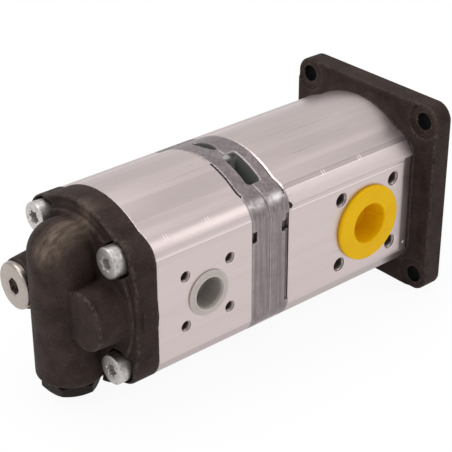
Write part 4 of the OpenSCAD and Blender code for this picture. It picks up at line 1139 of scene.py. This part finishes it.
def makeLongScrews():
    # Each screw is one profile turned about its axis. Inside the recess the radius follows six lobes:
    # r = mean + half * cos(6 * angle), which fades into the round face.
    c = screws
    seat = joints["coverFace"] + rearCover["seatX"]
    head = seat - c["headH"]
    end = high("long_screws", 0)
    floor = head + c["depth"]
    corners = [
        (floor + c["tip"], 0, 0), (floor, c["tipShare"] * c["lobeR"], 0),
        (floor - c["floorEdge"], c["lobeR"], 0), (head + c["rim"], c["lobeR"], 0),
        (head, c["lobeR"] + c["mouth"], 0), (head, c["lobeR"] + c["collar"], 0),
        (head, c["headR"], c["round"]), (seat, c["headR"], c["seatRound"]), (seat, c["shankR"], 0),
        (end - c["chamfer"], c["shankR"], 0), (end, c["shankR"] - c["chamfer"], 0), (end, 0, 0),
    ]

    def lobes(radius, angle, along):
        inside = np.clip((c["lobeR"] + c["collar"] - radius) / c["fade"], 0, 1)
        inside *= along < floor + c["lobeEnd"]
        dent = c["lobeIn"] * (1 - np.cos(6 * angle)) / 2
        return radius * (1 - inside * dent / c["lobeR"])

    parts = [turned(corners, "x", at, around["screw"], lobes) for at in screwPlaces]
    piece = makeObject("longScrews", *joined(parts))
    finishPiece(piece, "long_screws", degrees=35)


makeLongScrews()


# Threaded plugs

def hexagon(radius, angle, flats, turn):
    # Radius of a hexagon at an angle, as far as the given radius lets it reach.
    a = (angle - turn + np.pi / 6) % (np.pi / 3) - np.pi / 6
    return np.minimum(radius, flats / 2 / np.cos(a))


hexPlug = {
    "flats": 27.0, "threadR": 11.0, "turn": 67.0, "cut": 0.4, "slope": 30, "points": 10,
    "dishR": 7.5, "dishEdgeR": 8.2, "dishT": 0.6, "round": 0.3, "reach": 0.01,
}


def makeHexPlug():
    c = hexPlug
    x, z0 = middle("hex_plug", 0), low("hex_plug", 2)
    top = low("hex_plug_seal", 2)
    corner = c["flats"] / 2 / math.cos(math.pi / 6)
    slope = corner - c["flats"] / 2 + c["cut"]
    rise = slope * math.tan(math.radians(c["slope"]))
    steps = np.linspace(0, 1, c["points"])
    lower = [(z0 + rise * t, corner - slope * (1 - t), 0) for t in steps]
    upper = [(top - rise * t, corner - slope * (1 - t), 0) for t in steps[::-1]]
    dish, end = z0 + c["dishT"], high("hex_plug", 2)
    corners = [
        (dish, 0, 0), (dish, c["dishR"], c["round"]), (z0, c["dishEdgeR"], c["round"]), *lower, *upper,
        (top, c["threadR"], 0), (end, c["threadR"], 0), (end, 0, 0),
    ]

    def flats(radius, angle, along):
        shaped = hexagon(radius, angle, c["flats"], math.radians(c["turn"]))
        return np.where(radius > c["threadR"] + c["reach"], shaped, radius)

    piece = makeObject("hexPlug", *turned(corners, "z", (x, 0, 0), around["plug"], flats))
    finishPiece(piece, "hex_plug", degrees=20)


reliefPlug = {
    "headR": 12.7, "threadR": 9.0, "socket": 8.0, "turn": 42.0, "depth": 6.4, "round": 1.6,
    "tip": 1.6, "rim": 0.6, "mouth": 1.6, "backRound": 0.3, "reach": 0.3,
}


def makeReliefPlug():
    c = reliefPlug
    y, head = middle("relief_plug", 1), low("relief_plug", 0)
    back, end = low("relief_plug_seal", 0), high("relief_plug", 0)
    corner = c["socket"] / 2 / math.cos(math.pi / 6)
    corners = [
        (head + c["depth"] + c["tip"], 0, 0), (head + c["depth"], corner, 0), (head + c["rim"], corner, 0),
        (head, corner + c["rim"], 0), (head, corner + c["mouth"], 0), (head, c["headR"], c["round"]),
        (back, c["headR"], c["backRound"]), (back, c["threadR"], 0), (end, c["threadR"], 0), (end, 0, 0),
    ]

    def socket(radius, angle, along):
        shaped = hexagon(radius, angle, c["socket"], math.radians(c["turn"]))
        return np.where(radius < corner + c["reach"], np.minimum(radius, shaped), radius)

    piece = makeObject("reliefPlug", *turned(corners, "x", (0, y, midZ), around["plug"], socket))
    finishPiece(piece, "relief_plug", degrees=25)


makeHexPlug()
makeReliefPlug()


# Port plugs

portPlugs = {
    "large": {
        "flangeR": 21.5, "t": 2.6, "step": 0.25, "lip": 2.6, "outR": 12.92, "inR": 11.1, "floor": 1.3,
    },
    "small": {
        "flangeR": 12.5, "t": 1.6, "step": 0.7, "lip": 1.2, "outR": 9.92, "inR": 8.4, "floor": 1.2,
    },
    "both": {
        "l": 13.0, "gateR": 1.4, "gateFootR": 1.8, "gateH": 0.5, "gateRound": 0.2,
        "floorIn": 0.6, "round": 0.8, "mouth": 0.5, "flare": 0.3, "lipRound": 0.5, "lipFoot": 0.6,
        "footRound": 0.4, "rimShare": 2.6, "rimDraft": 0.1, "edge": 0.3, "draft": 0.15,
        "tipL": 0.5, "tipIn": 0.7,
        "ribs": 6, "ribTurn": 0.4, "ribFrom": 0.93, "ribOver": 0.07, "ribH": 0.3, "ribReach": (0.9, 0.05),
    },
}


def makePortPlug(name, node, bodyName, size, side):
    # A cup with a flange, turned about the port's axis. The moulded wall has six shallow ribs inside.
    c = portPlugs[size] | portPlugs["both"]
    face = side * portY
    depth = c["l"] - c["floor"]
    lip, step = c["inR"] + c["lip"], c["step"] - c["t"]
    corners = [
        (depth - c["gateH"], 0, 0), (depth - c["gateH"], c["gateR"], c["gateRound"]),
        (depth, c["gateFootR"], c["gateRound"]), (depth, c["inR"] - c["floorIn"], c["round"]),
        (c["mouth"], c["inR"], 0), (-c["t"], c["inR"] + c["flare"], c["round"]),
        (-c["t"], lip, c["lipRound"]), (step, lip + c["lipFoot"], c["footRound"]),
        (step, c["flangeR"], (c["t"] - c["step"]) / c["rimShare"]),
        (0, c["flangeR"] - c["rimDraft"], c["edge"]), (0, c["outR"], c["edge"]),
        (c["l"] - c["tipL"], c["outR"] - c["draft"], c["tipL"]),
        (c["l"], c["outR"] - c["tipIn"], c["edge"]), (c["l"], 0, 0),
    ]
    corners = [(face - side * s, r, rounding) for s, r, rounding in corners]

    def ribs(radius, angle, along):
        inner, outer = c["ribReach"]
        inside = (radius < c["inR"] + outer) & (radius > c["inR"] - inner)
        rib = np.maximum(np.cos(c["ribs"] * angle + c["ribTurn"]) - c["ribFrom"], 0) / c["ribOver"]
        return radius - c["ribH"] * inside * rib

    piece = makeObject(name, *turned(corners, "y", (middle(node, 0), 0, midZ), around["plug"], ribs))
    finishPiece(piece, node, bodyName, degrees=40)


makePortPlug("frontPortPlug", "front_port_plug", "front_pressure_cap", "large", -1)
makePortPlug("rearPortPlug", "rear_port_plug", "rear_pressure_cap", "small", -1)
makePortPlug("frontSuctionPlug", "front_suction_plug", "front_suction_cap", "large", 1)
makePortPlug("rearSuctionPlug", "rear_suction_plug", "rear_suction_cap", "large", 1)


# Springs

springs = {
    "valveSpring": {"node": "valve_spring", "axis": "z", "coilR": 4.4, "wireR": 0.7, "turns": 7},
    "reliefSpring": {"node": "relief_spring", "axis": "x", "coilR": 2.7, "wireR": 0.7, "turns": 4},
}
perTurn = 24                           # points along the wire on each turn


def makeSpring(name):
    # A round wire wound along a helix: a circle of wireR goes round the axis at coilR while it climbs
    # from one end to the other. The ends are closed by a point in the middle of the wire.
    c = springs[name]
    node = c["node"]
    along = "xyz".index(c["axis"])
    t = np.linspace(0, 1, c["turns"] * perTurn + 1)
    t = np.concatenate([t[:1], t, t[-1:]])[:, None]
    wire = np.full_like(t, c["wireR"])
    wire[0] = wire[-1] = 0
    section = np.linspace(0, 2 * np.pi, around["wire"], endpoint=False)[None]
    radius = c["coilR"] + wire * np.cos(section)
    angle = 2 * np.pi * c["turns"] * t
    first, last = low(node, along) + c["wireR"], high(node, along) - c["wireR"]
    place = first + (last - first) * t + wire * np.sin(section)
    u, v = (middle(node, k) for k in range(3) if k != along)
    rows = axisPoints(place, u + radius * np.cos(angle), v + radius * np.sin(angle), c["axis"])
    piece = makeObject(name, *skinArrays(rows))
    finishPiece(piece, node, degrees=40)
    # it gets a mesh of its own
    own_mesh(piece)


for name in springs:
    makeSpring(name)


# Camera, floor and light

camera = {
    "at": (-541.21, -500.42, 347.87), "azimuth": -40.5, "elevation": 28.95, "roll": -0.16, "lens": 112.616,
    "sensor": 36,
}
stage = {
    "floorSize": 6.0, "drop": 0.0005, "floor": (0.95, 0.95, 0.95), "roughness": 0.8,
    "seen": 0.93, "mirrored": 0.72, "ambient": 0.70, "reflected": 0.72,
}
lamps = {
    "rightSoftbox": {"at": (0.77, -0.75, 0.83), "size": 0.72, "power": 2.0},
    "leftSoftbox": {"at": (-0.95, 0.02, 0.85), "size": 0.6, "power": 3.2},
    "topSoftbox": {"at": (-0.1, 0.35, 1.15), "size": 0.9, "power": 5.0},
}


def makeCamera():
    c = camera
    a, e = math.radians(c["azimuth"]), math.radians(c["elevation"])
    back = Vector((math.sin(a) * math.cos(e), -math.cos(a) * math.cos(e), math.sin(e)))
    data = bpy.data.cameras.new("camera")
    data.lens = c["lens"]
    data.sensor_width = c["sensor"]
    view = bpy.data.objects.new("camera", data)
    view.location = Vector(c["at"]) * mm
    view.rotation_mode = "QUATERNION"
    roll = Quaternion((0, 0, 1), math.radians(c["roll"]))
    view.rotation_quaternion = (-back).to_track_quat("-Z", "Y") @ roll
    bpy.context.scene.collection.objects.link(view)
    bpy.context.scene.camera = view


def makeFloor():
    # A flat sheet just under the pump. For the camera and for reflections it is mostly plain white, and
    # the rest of it takes the pump's shadow.
    half, z = stage["floorSize"] / 2, cadBox[0][2] - stage["drop"]
    corners = [(-half, -half, z), (half, -half, z), (half, half, z), (-half, half, z)]
    mesh = bpy.data.meshes.new("floor")
    mesh.from_pydata(corners, [], [(0, 1, 2, 3)])
    floor = bpy.data.objects.new("floor", mesh)
    bpy.context.scene.collection.objects.link(floor)
    material, tree, shader = startMaterial("paleFloor", stage["floor"], 0.0, stage["roughness"])
    rays = addNode(tree, "ShaderNodeLightPath").outputs
    seen = times(tree, rays["Is Camera Ray"], stage["seen"])
    mirrored = calculate(tree, "MAXIMUM", rays["Is Glossy Ray"], rays["Is Transmission Ray"])
    share = calculate(tree, "MAXIMUM", seen, times(tree, mirrored, stage["mirrored"]))
    white = addNode(tree, "ShaderNodeEmission", {"Color": (1, 1, 1, 1), "Strength": 1.0})
    mix = addNode(tree, "ShaderNodeMixShader", {0: share, 1: shader.outputs[0], 2: white.outputs[0]})
    tree.links.new(mix.outputs[0], tree.nodes["Material Output"].inputs["Surface"])
    mesh.materials.append(material)


def makeWorld():
    world = bpy.data.worlds.new("studio")
    bpy.context.scene.world = world
    world.use_nodes = True
    tree = world.node_tree
    background = tree.nodes["Background"]
    rays = addNode(tree, "ShaderNodeLightPath").outputs
    background.inputs["Color"].default_value = (1, 1, 1, 1)
    strength = spread(tree, rays["Is Glossy Ray"], 0, 1, stage["ambient"], stage["reflected"])
    connect(tree, background, Strength=calculate(tree, "MAXIMUM", strength, rays["Is Camera Ray"]))


def makeLamps():
    target = Vector(((cadBox[0][0] + cadBox[1][0]) / 2, 0, midZ * mm))
    for name, c in lamps.items():
        data = bpy.data.lights.new(name, "AREA")
        data.size = c["size"]
        data.energy = c["power"]
        lamp = bpy.data.objects.new(name, data)
        lamp.location = target + Vector(c["at"])
        lamp.rotation_mode = "QUATERNION"
        lamp.rotation_quaternion = (-Vector(c["at"])).to_track_quat("-Z", "Y")
        bpy.context.scene.collection.objects.link(lamp)


makeCamera()
makeFloor()
makeWorld()
makeLamps()
bpy.context.scene.view_settings.view_transform = "Standard"
print("stage ready")
